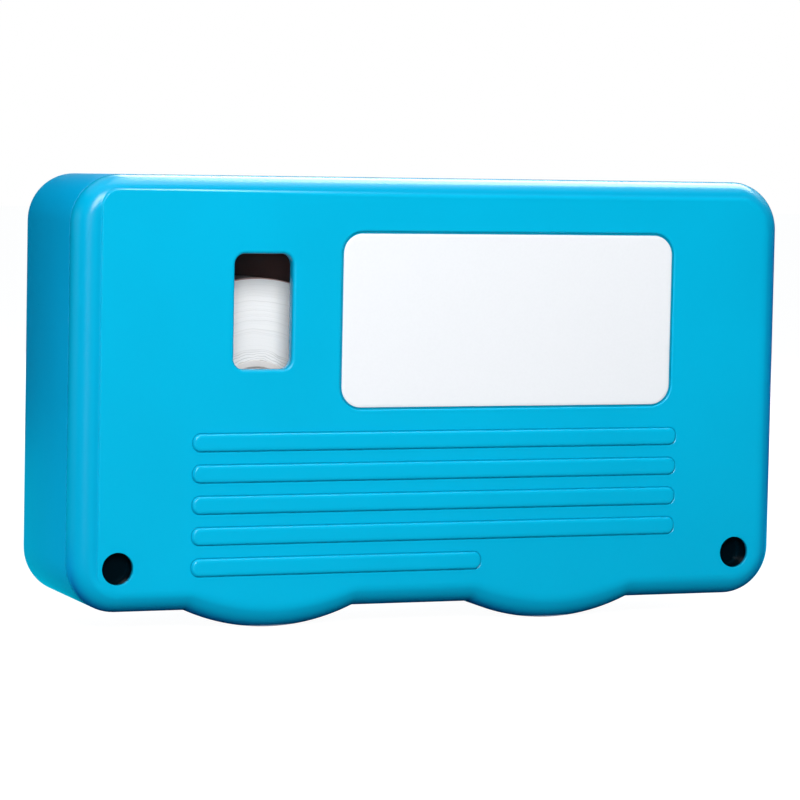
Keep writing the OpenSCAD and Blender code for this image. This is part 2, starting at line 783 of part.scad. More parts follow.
module slide_plate()
    color([0.9, 0.9, 0.86])
        in_place()
            upright(slide_y0, slide_y1)
                difference() {
                    union() {
                        round_rect(slide_x0, slide_z0, slide_x1, slide_z1, slide_r);
                        translate([riser_x0, rack_root_z])
                            square([riser_w, slide_z0 + over - rack_root_z]);
                        translate([takeup_x + rack_first * rack_pitch, rack_root_z])
                            square([(rack_last + 1 - rack_first) * rack_pitch, rack_bar]);
                        for (k = [rack_first : rack_last])
                            rack_tooth(takeup_x + (k + 0.5) * rack_pitch);
                    }
                    round_rect(riser_x0 + riser_rim, rack_root_z + rack_bar + over, riser_x1 - riser_rim,
                        slide_z0 - over, (slide_z0 - rack_root_z - rack_bar) / 8.5);
                    translate([tip_x - drive_pin_r - foot_fit, slide_z0 + slide_h / 3])
                        square([2 * (drive_pin_r + foot_fit), slide_h]);
                    translate([leg_x0 + foot_side - foot_fit, foot_z0 - foot_fit])
                        square([leg_w - 2 * (foot_side - foot_fit), foot_h + 2 * foot_fit]);
                }

// Involute flank of the pinion, as the angle at radius r, and the tooth's half angle where the flank starts
pinion_base_r = pinion_r * cos(pressure_angle);
pinion_tip_r = pinion_r + tooth_add;
pinion_root_r = pinion_r - tooth_ded;
function involute(r) = let (t = acos(pinion_base_r / r)) tan(t) * 180 / PI - t;
flank_a0 = 90 / pinion_teeth - tooth_backlash / 4 / pinion_r * 180 / PI + involute(pinion_r);
root_turn = 1;

function tooth_points(centre) =
    let (flank = [for (i = [0 : flank_steps])
        let (r = pinion_base_r + (pinion_tip_r - pinion_base_r) * i / flank_steps)
        [r, flank_a0 - involute(r)]])
    concat(
        [polar(pinion_root_r, centre - flank_a0 - root_turn)],
        [for (p = flank) polar(p[0], centre - p[1])],
        [for (i = [flank_steps : -1 : 0]) polar(flank[i][0], centre + flank[i][1])],
        [polar(pinion_root_r, centre + flank_a0 + root_turn)]);

module drive_pinion()
    color([0.92, 0.9, 0.82])
        in_place()
            translate([takeup_x, 0, reel_z])
                difference() {
                    union() {
                        upright(slide_y0, slide_y1)
                            polygon([for (k = [0 : pinion_teeth - 1])
                                each tooth_points(90 + k * 360 / pinion_teeth)]);
                        bar(0, 0, flange_r, flange_y0, flange_y1);
                        bar(0, 0, spindle_post_r + shoulder_w, flange_y0, slide_y1);
                        bar(pawl_pin[0], pawl_pin[1], pawl_pin_r, ratchet_y0, flange_y0 + over);
                        bar(pawl_peg[0], pawl_peg[1], pawl_peg_r, ratchet_y0, flange_y0 + over);
                    }
                    bar(0, 0, spindle_post_r + fit, flange_y0 - over, slide_y1 + over);
                }

// Drive pawl: it hangs on the pinion's flange and pushes the ratchet wheel's teeth
pawl_back = polar(ratchet_r + 4 * pawl_play, pawl_valley_a - 12);
pawl_top = pawl_pin + polar(pawl_boss_r - pawl_play, 130);

module drive_pawl()
    color([0.2, 0.21, 0.23])
        in_place()
            translate([takeup_x, 0, reel_z])
                difference() {
                    union() {
                        bar(pawl_pin[0], pawl_pin[1], pawl_boss_r, ratchet_y0, ratchet_y1);
                        upright(ratchet_y0 + pawl_relief, ratchet_y1 - pawl_relief)
                            polygon([pawl_pin + polar(pawl_boss_r - pawl_play, 250),
                                polar(ratchet_r + pawl_play, pawl_valley_a - 27),
                                polar(ratchet_root_r + pawl_play, pawl_valley_a - 2.2),
                                polar(ratchet_r + pawl_play, pawl_valley_a - 1.6),
                                pawl_back, pawl_top]);
                    }
                    bar(pawl_pin[0], pawl_pin[1], pawl_pin_r + fit, ratchet_y0 - over, ratchet_y1 + over);
                }

// A bent strip of thickness t along the points
function strip_side(points, i, w) =
    let (run = points[min(i + 1, len(points) - 1)] - points[max(i - 1, 0)])
    points[i] + w / norm(run) * [-run[1], run[0]];

module strip(points, t)
    polygon(concat(
        [for (i = [0 : len(points) - 1]) strip_side(points, i, t / 2)],
        [for (i = [len(points) - 1 : -1 : 0]) strip_side(points, i, -t / 2)]));

// Leaf that holds the drive pawl down on the ratchet wheel: it hooks over the flange's peg
pawl_spring_t = 0.3;
pawl_hook_r = pawl_peg_r + seat + pawl_spring_t / 2;

module pawl_spring()
    color([0.72, 0.73, 0.75])
        in_place()
            translate([takeup_x, 0, reel_z]) {
                back = pawl_top - pawl_back;
                touch = pawl_back + 0.35 * back
                    + (seat + pawl_spring_t / 2 + gap) / norm(back) * [-back[1], back[0]];
                upright(ratchet_y0 + seat, ratchet_y1 - seat)
                    strip(concat(
                        [for (a = [200 : -15 : 110]) pawl_peg + polar(pawl_hook_r, a)],
                        [touch], [touch + 0.12 * back]), pawl_spring_t);
            }

// Ratchet wheel and the splined sleeve that drives the take-up hub, in one piece
spline_r = 5.2;
spline_core_r = 4.2;
spline_w = 1.4;
spline_count = 6;
spline_fit = 0.1;
spline_y1 = base_y0 - gap;

module splines(core, margin) {
    circle(r = core);
    for (k = [0 : spline_count - 1])
        rotate(k * 360 / spline_count)
            translate([0, -spline_w / 2 - margin])
                square([spline_r + margin, spline_w + 2 * margin]);
}

module ratchet_spindle()
    color([0.85, 0.86, 0.84])
        in_place()
            translate([takeup_x, 0, reel_z])
                difference() {
                    union() {
                        upright(ratchet_y0, ratchet_y1)
                            polygon([for (k = [0 : ratchet_teeth - 1])
                                let (a = pawl_valley_a + k * ratchet_step)
                                each [polar(ratchet_root_r, a), polar(ratchet_r, a)]]);
                        bar(0, 0, spline_core_r, spindle_y0, ratchet_y1);
                        upright(spindle_y0, spline_y1)
                            splines(spline_core_r, 0);
                    }
                    bar(0, 0, spindle_post_r + fit, 0, body_d);
                }

// Clip in the post's groove, in front of the spindle
module spindle_clip()
    color([0.3, 0.3, 0.32])
        in_place()
            translate([takeup_x, 0, reel_z])
                upright(clip_y0 + seat / 2, clip_y0 + clip_t)
                    difference() {
                        circle(r = spline_core_r - push_fit - seat);
                        circle(r = spindle_post_r - groove_depth + push_fit);
                        translate([0, -spline_w])
                            square([spline_core_r, 2 * spline_w]);
                    }

// Leaf that stops the take-up reel from turning back, held in a post on the back wall
leaf_root = polar(leaf_post_orbit, leaf_post_a);
leaf_tip = polar(ratchet_root_r + 2 * leaf_t, leaf_valley_a - 2.4);

module backstop_leaf()
    color([0.7, 0.71, 0.73])
        in_place()
            translate([takeup_x, 0, reel_z]) {
                run = leaf_tip - leaf_root;
                upright(ratchet_y0 + seat, ratchet_y1 - seat)
                    strip([leaf_root + (leaf_post_r + seat) / norm(run) * run, leaf_tip], leaf_t);
            }

// Cartridge base: the dark plate behind the tape, with the supply reel's post and the pad's shelf
pad_half = 6.7;
pad_top_z = guide_z + guide_pin_r;
pad_spring_h = 2.7;
shelf_t = 1.6;
shelf_z1 = pad_top_z - pad_t - pad_spring_h;
guide_t = 1.6;
guide_half = 10;
guide_peg_r = 0.7;
guide_rise = 0.9;
guide_plate_z0 = strand_top_z + guide_rise;
guide_plate_z1 = guide_plate_z0 + guide_t;
guide_peg_z = guide_plate_z0 + guide_t / 2;
guide_peg_xs = [reel_mid_x - 0.8 * guide_half, reel_mid_x + 0.8 * guide_half];
collar_r = spline_r + 1;

module cartridge_base()
    color([0.13, 0.1, 0.1])
        in_place()
            difference() {
                union() {
                    upright(base_y0, base_y1) {
                        round_rect(base_x0, base_z0, base_x1, base_z1, base_r);
                        round_rect(guide_xs[0] - 2 * guide_pin_r, base_z1 - base_r,
                            guide_xs[1] + 2 * guide_pin_r, guide_plate_z1 + guide_peg_r, guide_pin_r);
                    }
                    bar(supply_x, reel_z, supply_post_r, hub_y0 - gap, base_y0 + over);
                    translate([reel_mid_x - pad_half - over, tape_y0, shelf_z1 - shelf_t])
                        cube([2 * (pad_half + over), base_y0 - tape_y0 + over, shelf_t]);
                }
                bar(takeup_x, reel_z, collar_r + gap, base_y0 - over, base_y1 + over);
                for (p = base_posts)
                    bar(p[0], p[1], base_peg_r + base_peg_fit, base_y0 - over, base_y1 + over);
                bar(screw_xs[0], screw_up, screw_boss_r + 2 * gap, base_y0 - over, base_y1 + over);
                for (x = guide_xs)
                    bar(x, guide_z, guide_pin_r + push_fit, base_y0 - over, base_y1 + over);
                for (x = guide_peg_xs)
                    bar(x, guide_peg_z, guide_peg_r + push_fit, base_y0 - over, base_y1 + over);
            }

module guide_pins()
    color([0.78, 0.79, 0.8])
        in_place()
            for (x = guide_xs)
                bar(x, guide_z, guide_pin_r, guide_y0, base_y1);

// A reel hub before its bore: a sleeve with a ring groove in its front face
hub_rim = 1.2;
hub_groove = 0.8;

module reel_hub(x)
    difference() {
        bar(x, reel_z, hub_r, hub_y0, hub_y1);
        difference() {
            bar(x, reel_z, hub_r - hub_rim, hub_y0 - over, hub_y0 + hub_groove);
            bar(x, reel_z, collar_r, hub_y0 - 2 * over, hub_y1);
        }
    }

module supply_hub()
    color([0.9, 0.83, 0.81])
        in_place()
            difference() {
                reel_hub(supply_x);
                bar(supply_x, reel_z, supply_post_r + fit, hub_y0 - over, hub_y1 + over);
            }

module takeup_hub()
    color([0.9, 0.83, 0.81])
        in_place()
            difference() {
                union() {
                    reel_hub(takeup_x);
                    bar(takeup_x, reel_z, collar_r, hub_y1 - over, base_y1 - spline_fit);
                }
                translate([takeup_x, 0, reel_z]) {
                    bar(0, 0, spline_core_r + spline_fit, hub_y0 - over, base_y1 + over);
                    upright(hub_y0 - over, spline_y1 + spline_fit)
                        splines(spline_core_r + spline_fit, spline_fit);
                }
            }

// Wound tape on a hub
module tape_pack(x, r)
    difference() {
        bar(x, reel_z, r, tape_y0, tape_y1);
        bar(x, reel_z, hub_r + push_fit, tape_y0 - over, tape_y1 + over);
    }

module supply_tape()
    color([0.96, 0.96, 0.95])
        in_place()
            tape_pack(supply_x, supply_r);

module takeup_tape()
    color([0.92, 0.92, 0.91])
        in_place()
            tape_pack(takeup_x, takeup_r);

// Felt washer on the end of the supply post, between the hub and the cover, which keeps the tape taut
module brake_washer()
    color([0.5, 0.5, 0.48])
        in_place()
            difference() {
                bar(supply_x, reel_z, reel_stop_r, reel_stop_y1 + push_fit, hub_y0 - gap);
                bar(supply_x, reel_z, supply_post_r + gap, reel_stop_y1 - over, hub_y0);
            }

// Free strand: it leaves the supply reel's right side, runs over both pins and lands on the take-up's left
strand_mid_r = guide_pin_r + gap + strand_t / 2;
strand_steps = 10;
function turn_in(r, span) = acos((r + gap + strand_t / 2 + strand_mid_r) / norm(span));
supply_span = [supply_x - guide_xs[0], reel_z - guide_z];
takeup_span = [takeup_x - guide_xs[1], reel_z - guide_z];
strand_a0 = atan2(supply_span[1], supply_span[0]) - turn_in(supply_r, supply_span);
strand_a1 = atan2(takeup_span[1], takeup_span[0]) + turn_in(takeup_r, takeup_span);

function arc_run(x, a0, a1) = [for (i = [0 : strand_steps])
    [x, guide_z] + polar(strand_mid_r, a0 + (a1 - a0) * i / strand_steps)];

module tape_strand()
    color([0.97, 0.97, 0.96])
        in_place()
            upright(tape_y0, tape_y1)
                strip(concat(
                    [[supply_x, reel_z] - polar(supply_r + gap + strand_t / 2, strand_a0)],
                    arc_run(guide_xs[0], strand_a0, -270),
                    arc_run(guide_xs[1], 90, strand_a1),
                    [[takeup_x, reel_z] - polar(takeup_r + gap + strand_t / 2, strand_a1)]), strand_t);

// Ferrule guide under the aperture, pegged to the cartridge base
module ferrule_guide()
    color([0.12, 0.12, 0.13])
        in_place() {
            translate([0, 0, guide_plate_z0])
                linear_extrude(height = guide_t)
                    difference() {
                        round_rect(reel_mid_x - guide_half, guide_y0, reel_mid_x + guide_half, base_y0,
                            guide_peg_r);
                        round_rect(aperture_x0, aperture_y0, aperture_x1, aperture_y1, aperture_r);
                    }
            for (x = guide_peg_xs)
                bar(x, guide_peg_z, guide_peg_r, base_y0 - over, base_y1);
        }

// Rubber pad that backs the tape under the aperture, and the arched leaf that carries it
module backing_pad()
    color([0.25, 0.25, 0.27])
        in_place()
            upright(tape_y0 + gap, tape_y1 - gap)
                round_rect(reel_mid_x - pad_half, pad_top_z - pad_t,
                    reel_mid_x + pad_half, pad_top_z, pad_t / 4);

pad_leaf_t = 0.4;
arch_steps = 12;

module pad_spring()
    color([0.72, 0.73, 0.75])
        in_place() {
            low_z = shelf_z1 + seat + pad_leaf_t / 2;
            rise = pad_spring_h - 2 * seat - pad_leaf_t;
            upright(tape_y0 + 2 * gap, tape_y1 - 2 * gap)
                strip([for (i = [0 : arch_steps])
                    [reel_mid_x + 0.8 * pad_half * (2 * i / arch_steps - 1),
                        low_z + rise * (1 - cos(360 * i / arch_steps)) / 2]], pad_leaf_t);
        }

front_cover();
rear_tray();
label();
cover_screws();
lever();
lever_pin();
lever_spring();
shutter();
slide_plate();
drive_pinion();
drive_pawl();
pawl_spring();
ratchet_spindle();
spindle_clip();
backstop_leaf();
cartridge_base();
guide_pins();
supply_hub();
supply_tape();
brake_washer();
takeup_hub();
takeup_tape();
tape_strand();
ferrule_guide();
backing_pad();
pad_spring();
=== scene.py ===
"""Fibre optic cleaning cassette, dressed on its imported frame.

The shells, the label, the shutter, the tapes and the soft pieces are surfaces worked out in the housing's
own millimetres: X across from its middle, Y from the front face to the back, Z up from its straight bottom
edge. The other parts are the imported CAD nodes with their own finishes.
"""

from __future__ import annotations

import logging
import math
from collections.abc import Callable, Sequence
from dataclasses import dataclass, field
from enum import Enum

import bmesh
import bpy
import numpy as np
from mathutils import Matrix, Vector
from mathutils.geometry import delaunay_2d_cdt

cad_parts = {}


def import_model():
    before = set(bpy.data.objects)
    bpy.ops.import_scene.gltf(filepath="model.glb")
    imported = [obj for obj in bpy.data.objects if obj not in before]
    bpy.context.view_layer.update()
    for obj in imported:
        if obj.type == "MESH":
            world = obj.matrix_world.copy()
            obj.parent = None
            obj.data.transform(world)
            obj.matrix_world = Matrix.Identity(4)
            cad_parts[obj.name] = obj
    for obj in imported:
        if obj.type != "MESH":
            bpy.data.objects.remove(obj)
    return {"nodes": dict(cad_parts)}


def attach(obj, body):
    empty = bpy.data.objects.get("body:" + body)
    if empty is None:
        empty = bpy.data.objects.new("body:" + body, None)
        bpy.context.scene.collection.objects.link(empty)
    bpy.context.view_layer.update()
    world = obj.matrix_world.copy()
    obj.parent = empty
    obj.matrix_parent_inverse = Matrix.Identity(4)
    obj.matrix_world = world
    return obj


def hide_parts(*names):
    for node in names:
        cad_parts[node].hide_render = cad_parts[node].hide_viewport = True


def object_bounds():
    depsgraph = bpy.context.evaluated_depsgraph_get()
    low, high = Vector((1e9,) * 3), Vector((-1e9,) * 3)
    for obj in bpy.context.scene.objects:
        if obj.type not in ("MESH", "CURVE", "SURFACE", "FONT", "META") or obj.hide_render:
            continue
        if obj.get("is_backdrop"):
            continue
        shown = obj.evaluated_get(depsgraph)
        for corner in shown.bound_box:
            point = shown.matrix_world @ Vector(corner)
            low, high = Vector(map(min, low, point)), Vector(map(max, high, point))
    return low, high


log = logging.getLogger("cassette")
Array = np.ndarray
Object = bpy.types.Object
Pair = tuple[float, float]
Colour = tuple[float, float, float]
Spot = tuple[float, float, float]
Box = tuple[float, float, float, float]
# Of a rounded rectangle: points round each corner and along each side, and the third coordinate of a ring
Counts = tuple[int, int]
Level = float | Callable[[Array], Array]

MM_PER_METRE = 1000.0
FULL_TURN = 2.0 * math.pi
WHITE: Colour = (1.0, 1.0, 1.0)


@dataclass(frozen=True)
class Housing:
    """Sizes of the housing and places of the reels in millimetres, as the part's source has them."""

    half_width: float = 68.0
    height: float = 76.0
    depth: float = 33.0
    corner: float = 8.8
    rise: float = 0.2
    edge: float = 3.5
    back_edge: float = 3.6
    inner_edge: float = 1.4
    seam: float = 3.7
    tray_front: float = 3.9
    lean: float = 0.4
    wall: float = 2.2
    cover_wall: float = 2.0
    tongue_start: float = 2.35
    tongue_end: float = 3.35
    tongue_back: float = 6.4
    bulge: float = 38.2
    reel_z: float = 34.8
    reel_xs: Pair = (-30.7, 23.3)
    field_side: float = 4.5
    field_top: float = 2.4
    field_bottom: float = 3.6
    field_corner: float = 3.2
    to_frame: Spot = (-3.3, -16.3, 3.4)

    def place(self, points: Array) -> Array:
        """Move housing millimetres into the frame's metres: each point plus one shift, over a thousand."""
        return (points + np.array(self.to_frame)) / MM_PER_METRE

    def taper(self, y: Array | float) -> Array | float:
        """How much the tray's walls have leaned in at a depth."""
        return self.lean * (y - self.tray_front) / (self.depth - self.back_edge - self.tray_front)


class Plane(Enum):
    """Which two coordinates a flat cap is drawn in."""

    FRONT = (0, 2)
    TOP = (0, 1)
    SIDE = (1, 2)

    @property
    def spare(self) -> int:
        """The coordinate that the plane leaves out: all three numbers add up to 3."""
        return 3 - sum(self.value)


def round_rect(box: Box, r: float, out: float, turn: int, side: int) -> Array:
    """Outline of a rectangle with round corners, moved outwards by a margin.

    Each point is a corner's centre plus (r + out) times a direction that turns from side to side.

    Args:
        box: Left, bottom, right and top edge.
        r: Corner radius before the margin.
        out: How far the outline is moved outwards.
        turn: Points round each corner.
        side: Points along each side, between its corners.

    Returns:
        Points in order, shape (n, 2).
    """
    x0, z0, x1, z1 = box
    corners = [(x1 - r, z0 + r, -90.0), (x1 - r, z1 - r, 0.0), (x0 + r, z1 - r, 90.0),
               (x0 + r, z0 + r, 180.0)]
    pieces = []
    for i, (cx, cz, start) in enumerate(corners):
        angles = np.radians(start + np.linspace(0.0, 90.0, turn))
        arc = np.stack([cx + (r + out) * np.cos(angles), cz + (r + out) * np.sin(angles)], axis=1)
        nx, nz, following = corners[(i + 1) % len(corners)]
        first = np.radians(following)
        target = np.array([nx + (r + out) * math.cos(first), nz + (r + out) * math.sin(first)])
        shares = np.linspace(0.0, 1.0, side + 2)[1:-1, None]
        pieces += [arc, arc[-1] + (target - arc[-1]) * shares]
    return np.concatenate(pieces)


def smooth_low(a: Array, b: Array, k: Array) -> Array:
    """The lower of two heights, rounded where they cross.

    It is the lesser of both, less a quarter of k times the square of their nearness.

    Args:
        a: The first heights.
        b: The second heights.
        k: How far apart they may lie for the rounding to start.

    Returns:
        The rounded lower heights.
    """
    near = np.clip(k - np.abs(a - b), 0.0, None) / k
    return np.minimum(a, b) - near * near * k / 4.0


def smooth_step(x: Array) -> Array:
    """The cubic that rises from 0 to 1 with level ends: three times the square less twice the cube."""
    t = np.clip(x, 0.0, 1.0)
    return t * t * (3.0 - 2.0 * t)


def quarter_circle(r: float, degrees: Array) -> list[Pair]:
    """A round edge between two faces, as pairs of how far it has come in and how far it has still to go.

    At each angle they are the radius times one less the cosine, and the radius times one less the sine.

    Args:
        r: Its radius.
        degrees: The angles that it has turned, from 0 to 90.

    Returns:
        The pairs.
    """
    turn = np.radians(degrees)
    return list(zip((r * (1.0 - np.cos(turn))).tolist(), (r * (1.0 - np.sin(turn))).tolist()))


def lift(ring: Array, y: Array | float) -> Array:
    """Points in x and z with a depth, as x, y, z."""
    return np.stack([ring[:, 0], np.broadcast_to(y, len(ring)), ring[:, 1]], axis=1)


def follow(surface: Level, profile: Sequence[Pair]) -> list[tuple[float, Level]]:
    """A profile whose levels follow a surface: each is the surface's own level plus a fixed step.

    Args:
        surface: The level at each point of a ring, or one level for all.
        profile: Pairs of a margin and a step from the surface.

    Returns:
        Pairs of a margin and a level, as carry takes them.
    """
    if callable(surface):
        return [(out, lambda ring, step=step: surface(ring) + step) for out, step in profile]
    return [(out, surface + step) for out, step in profile]


def put(name: str, data: bpy.types.ID) -> Object:
    """Make an object and link it to the scene.

    Args:
        name: Its name.
        data: Its mesh, lamp or camera.

    Returns:
        The object.
    """
    made = bpy.data.objects.new(name, data)
    bpy.context.scene.collection.objects.link(made)
    return made


class Skin:
    """Gathers rings of points and flat caps into one closed mesh."""

    # Millimetres under which two points of a cap are one
    nearness: float = 1e-6

    def __init__(self) -> None:
        """Start with no points and no faces."""
        self.points: list[Array] = []
        self.faces: list[tuple[int, ...]] = []
        self.total = 0

    def add(self, points: Array) -> Array:
        """Store points and number them in the order in which they came.

        Args:
            points: Points of any shape (..., 3).

        Returns:
            Their numbers, in the same shape less the last axis.
        """
        flat = np.asarray(points, float).reshape(-1, 3)
        self.points.append(flat)
        numbers = np.arange(self.total, self.total + len(flat)).reshape(points.shape[:-1])
        self.total += len(flat)
        return numbers

    def join(self, numbers: Array, closed: bool = True) -> None:
        """Lay four-sided faces between each ring of numbers and the next.

        Args:
            numbers: Point numbers, one row a ring.
            closed: Whether each ring's last point joins its first.
        """
        a, b = numbers[:-1], numbers[1:]
        if closed:
            quads = np.stack([a, np.roll(a, -1, 1), np.roll(b, -1, 1), b], axis=-1)
        else:
            quads = np.stack([a[:, :-1], a[:, 1:], b[:, 1:], b[:, :-1]], axis=-1)
        self.faces += [tuple(q) for q in quads.reshape(-1, 4).tolist()]

    def rings(self, stack: Sequence[Array] | Array) -> Array:
        """Store rings of equal length with the faces between them.

        Args:
            stack: The rings, each of shape (points, 3).

        Returns:
            Their point numbers, one row a ring.
        """
        numbers = self.add(np.stack(list(stack)))
        self.join(numbers)
        return numbers

    def cap(self, loops: Sequence[Array], plane: Plane) -> None:
        """Fill the flat area inside the first loop and outside the others with triangles.

        A constrained triangulation gives the triangles. One is kept where a line from its middle towards +x
        crosses the loops an odd number of times.

        Args:
            loops: Point numbers of each loop, the outer one first.
            plane: The two coordinates that the area is drawn in.
        """
        known = np.concatenate(self.points)
        numbers = np.concatenate(loops)
        flat = known[numbers][:, list(plane.value)]
        edges, start = [], 0
        for loop in loops:
            n = len(loop)
            edges += [(start + i, start + (i + 1) % n) for i in range(n)]
            start += n
        found = delaunay_2d_cdt([Vector(p) for p in flat.tolist()], edges, [], 0, self.nearness, True)
        source = np.array([group[0] if group else -1 for group in found[3]])
        if (source < 0).any():
            crossings = [tuple(v) for v, group in zip(found[0], found[3]) if not group]
            raise ValueError(f"loops cross near {crossings[:4]}")
        spots = np.array([(v.x, v.y) for v in found[0]])
        triangles = np.array([f for f in found[2] if len(f) == 3])
        middle = spots[triangles].mean(axis=1)
        ends = np.array(edges)
        a, b = flat[ends[:, 0]], flat[ends[:, 1]]
        y = middle[:, 1:2]
        spans = (a[None, :, 1] > y) != (b[None, :, 1] > y)
        rise = np.where(b[:, 1] == a[:, 1], 1.0, b[:, 1] - a[:, 1])
        cross = a[None, :, 0] + (y - a[None, :, 1]) * ((b[:, 0] - a[:, 0]) / rise)[None]
        inside = (spans & (middle[:, 0:1] < cross)).sum(axis=1) % 2 == 1
        self.faces += [tuple(t) for t in numbers[source[triangles[inside]]].tolist()]

    def carry(self, plane: Plane, box: Box, r: float, profile: Sequence[tuple[float, Level]],
              points: Counts = (7, 12), close: Sequence[int] = ()) -> Array:
        """Carry a rounded rectangle over a profile: a ring for each pair, moved outwards to the pair's level.

        Args:
            plane: The plane that the rectangle is drawn in.
            box: Its edges in that plane.
            r: Its corner radius.
            profile: Pairs of a margin and the third coordinate, a number or a function of the ring.
            points: How many points lie round each corner and along each side.
            close: Numbers of the rings that get a flat cap.

        Returns:
            The point numbers, one row a ring.
        """
        stack = []
        for out, level in profile:
            flat = round_rect(box, r, out, *points)
            ring = np.zeros((len(flat), 3))
            ring[:, list(plane.value)] = flat
            ring[:, plane.spare] = level(ring) if callable(level) else level
            stack.append(ring)
        numbers = self.rings(stack)
        for i in close:
            self.cap([numbers[i]], plane)
        return numbers

    def build(self, name: str, housing: Housing, sharp: float = 32.0, merge: float = 2e-7) -> Object:
        """Make the object: doubles merged, faces outwards, smooth but for edges sharper than an angle.

        Args:
            name: The object's name.
            housing: The sizes, which also place the points in the frame.
            sharp: Angle between faces, in degrees, past which an edge stays sharp.
            merge: Distance in metres under which points become one.

        Returns:
            The new object, with its place in its mesh.
        """
        mesh = bpy.data.meshes.new(name)
        mesh.from_pydata(housing.place(np.concatenate(self.points)).tolist(), [], self.faces)
        work = bmesh.new()
        work.from_mesh(mesh)
        bmesh.ops.remove_doubles(work, verts=work.verts, dist=merge)
        bmesh.ops.recalc_face_normals(work, faces=work.faces)
        work.to_mesh(mesh)
        work.free()
        mesh.polygons.foreach_set("use_smooth", np.ones(len(mesh.polygons), bool))
        mesh.set_sharp_from_angle(angle=math.radians(sharp))
        return put(name, mesh)


@dataclass
class Outline:
    """The housing's outline as columns of points, anticlockwise seen from the front, from the lower left."""

    housing: Housing
    bottom_points: int = 241
    turn_points: int = 15
    side_points: int = 24
    top_points: int = 60
    # Rounding between the straight bottom edge and a bulge: at the edge, and more for each millimetre in
    blend: float = 0.02
    blend_rate: float = 0.14
    centre: Array = field(init=False)
    field_centre: Array = field(init=False)
    way: Array = field(init=False)
    runs: dict[str, slice] = field(init=False)

    def __post_init__(self) -> None:
        """Work out each column's centre, its outward direction and its centre for the raised field.

        A column is a share of the half width, a share of the height between the corner centres, and an angle.
        The same shares give the outline's centres and the field's.
        """
        h = self.housing
        half = h.half_width - h.corner
        reach = math.sqrt(h.bulge ** 2 - h.reel_z ** 2)
        kinks = [(x + way * reach) / half for x in h.reel_xs for way in (-1.0, 1.0)]
        bottom = np.sort(np.concatenate([np.linspace(-1.0, 1.0, self.bottom_points), kinks]))
        top = np.linspace(1.0, -1.0, self.top_points)
        side = np.linspace(0.0, 1.0, self.side_points)
        turn = np.linspace(0.0, 90.0, self.turn_points + 2)[1:-1]
        table = {"bottom": (bottom, 0.0, -90.0), "turn_br": (1.0, 0.0, turn - 90.0),
                 "right": (1.0, side, 0.0), "turn_tr": (1.0, 1.0, turn),
                 "top": (top, 1.0, 90.0), "turn_tl": (-1.0, 1.0, turn + 90.0),
                 "left": (-1.0, side[::-1], 180.0), "turn_bl": (-1.0, 0.0, turn + 180.0)}
        self.runs, columns, start = {}, [], 0
        for name, shares in table.items():
            columns.append(np.stack(np.broadcast_arrays(*shares), axis=1))
            self.runs[name] = slice(start, start + len(columns[-1]))
            start = self.runs[name].stop
        across, up, angle = np.concatenate(columns).T

        def centres(half_x: float, low: float, high: float) -> Array:
            """Centres whose x reaches half_x to both sides and whose z goes from low to high."""
            return np.stack([across * half_x, low + up * (high - low)], axis=1)

        self.centre = centres(half, h.corner, h.height - h.corner)
        self.field_centre = centres(h.half_width - h.field_side - h.field_corner,
                                    h.field_bottom + h.field_corner, h.height - h.field_top - h.field_corner)
        self.way = np.stack([np.cos(np.radians(angle)), np.sin(np.radians(angle))], axis=1)

    def bottom_height(self, x: Array, inset: float | Array) -> Array:
        """Height of the bottom: the lower of the straight edge and each reel's circle, rounded more inside.

        Args:
            x: Places across.
            inset: How far in from the edge the line lies.

        Returns:
            The height at each place.
        """
        h = self.housing
        low = np.broadcast_to(inset, x.shape).astype(float)
        blend = self.blend + self.blend_rate * low
        for cx in h.reel_xs:
            reach = (h.bulge - inset) ** 2 - (x - cx) ** 2
            low = smooth_low(low, h.reel_z - np.sqrt(np.clip(reach, 0.0, None)), blend)
        return low

    def inset(self, distance: float) -> Array:
        """The outline taken in: each centre plus what is left of the corner radius in the column's direction.

        Args:
            distance: How far in.

        Returns:
            Points of shape (columns, 2).
        """
        ring = self.centre + self.way * (self.housing.corner - distance)
        part = self.runs["bottom"]
        ring[part, 1] = self.bottom_height(ring[part, 0], distance)
        return ring

    def field_ring(self, inwards: Array | float) -> Array:
        """The raised field's outline taken in, in the same way, by a distance a column.

        Args:
            inwards: How far in, one number or one a column.

        Returns:
            Points of shape (columns, 2).
        """
        h = self.housing
        inwards = np.broadcast_to(inwards, len(self.centre))
        ring = self.field_centre + self.way * (h.field_corner - inwards)[:, None]
        part = self.runs["bottom"]
        ring[part, 1] = self.bottom_height(ring[part, 0], h.field_bottom + inwards[part])
        return ring

    def depth_in(self, ring: Array) -> Array:
        """How far each point lies inside the rounded rectangle, from its distance to corner arcs and sides.

        Args:
            ring: Points of shape (n, 2).

        Returns:
            The distance inside, one a point.
        """
        h = self.housing
        x = np.abs(ring[:, 0]) - (h.half_width - h.corner)
        z = np.abs(ring[:, 1] - h.height / 2.0) - (h.height / 2.0 - h.corner)
        out = np.hypot(np.clip(x, 0.0, None), np.clip(z, 0.0, None)) + np.minimum(np.maximum(x, z), 0.0)
        return h.corner - out


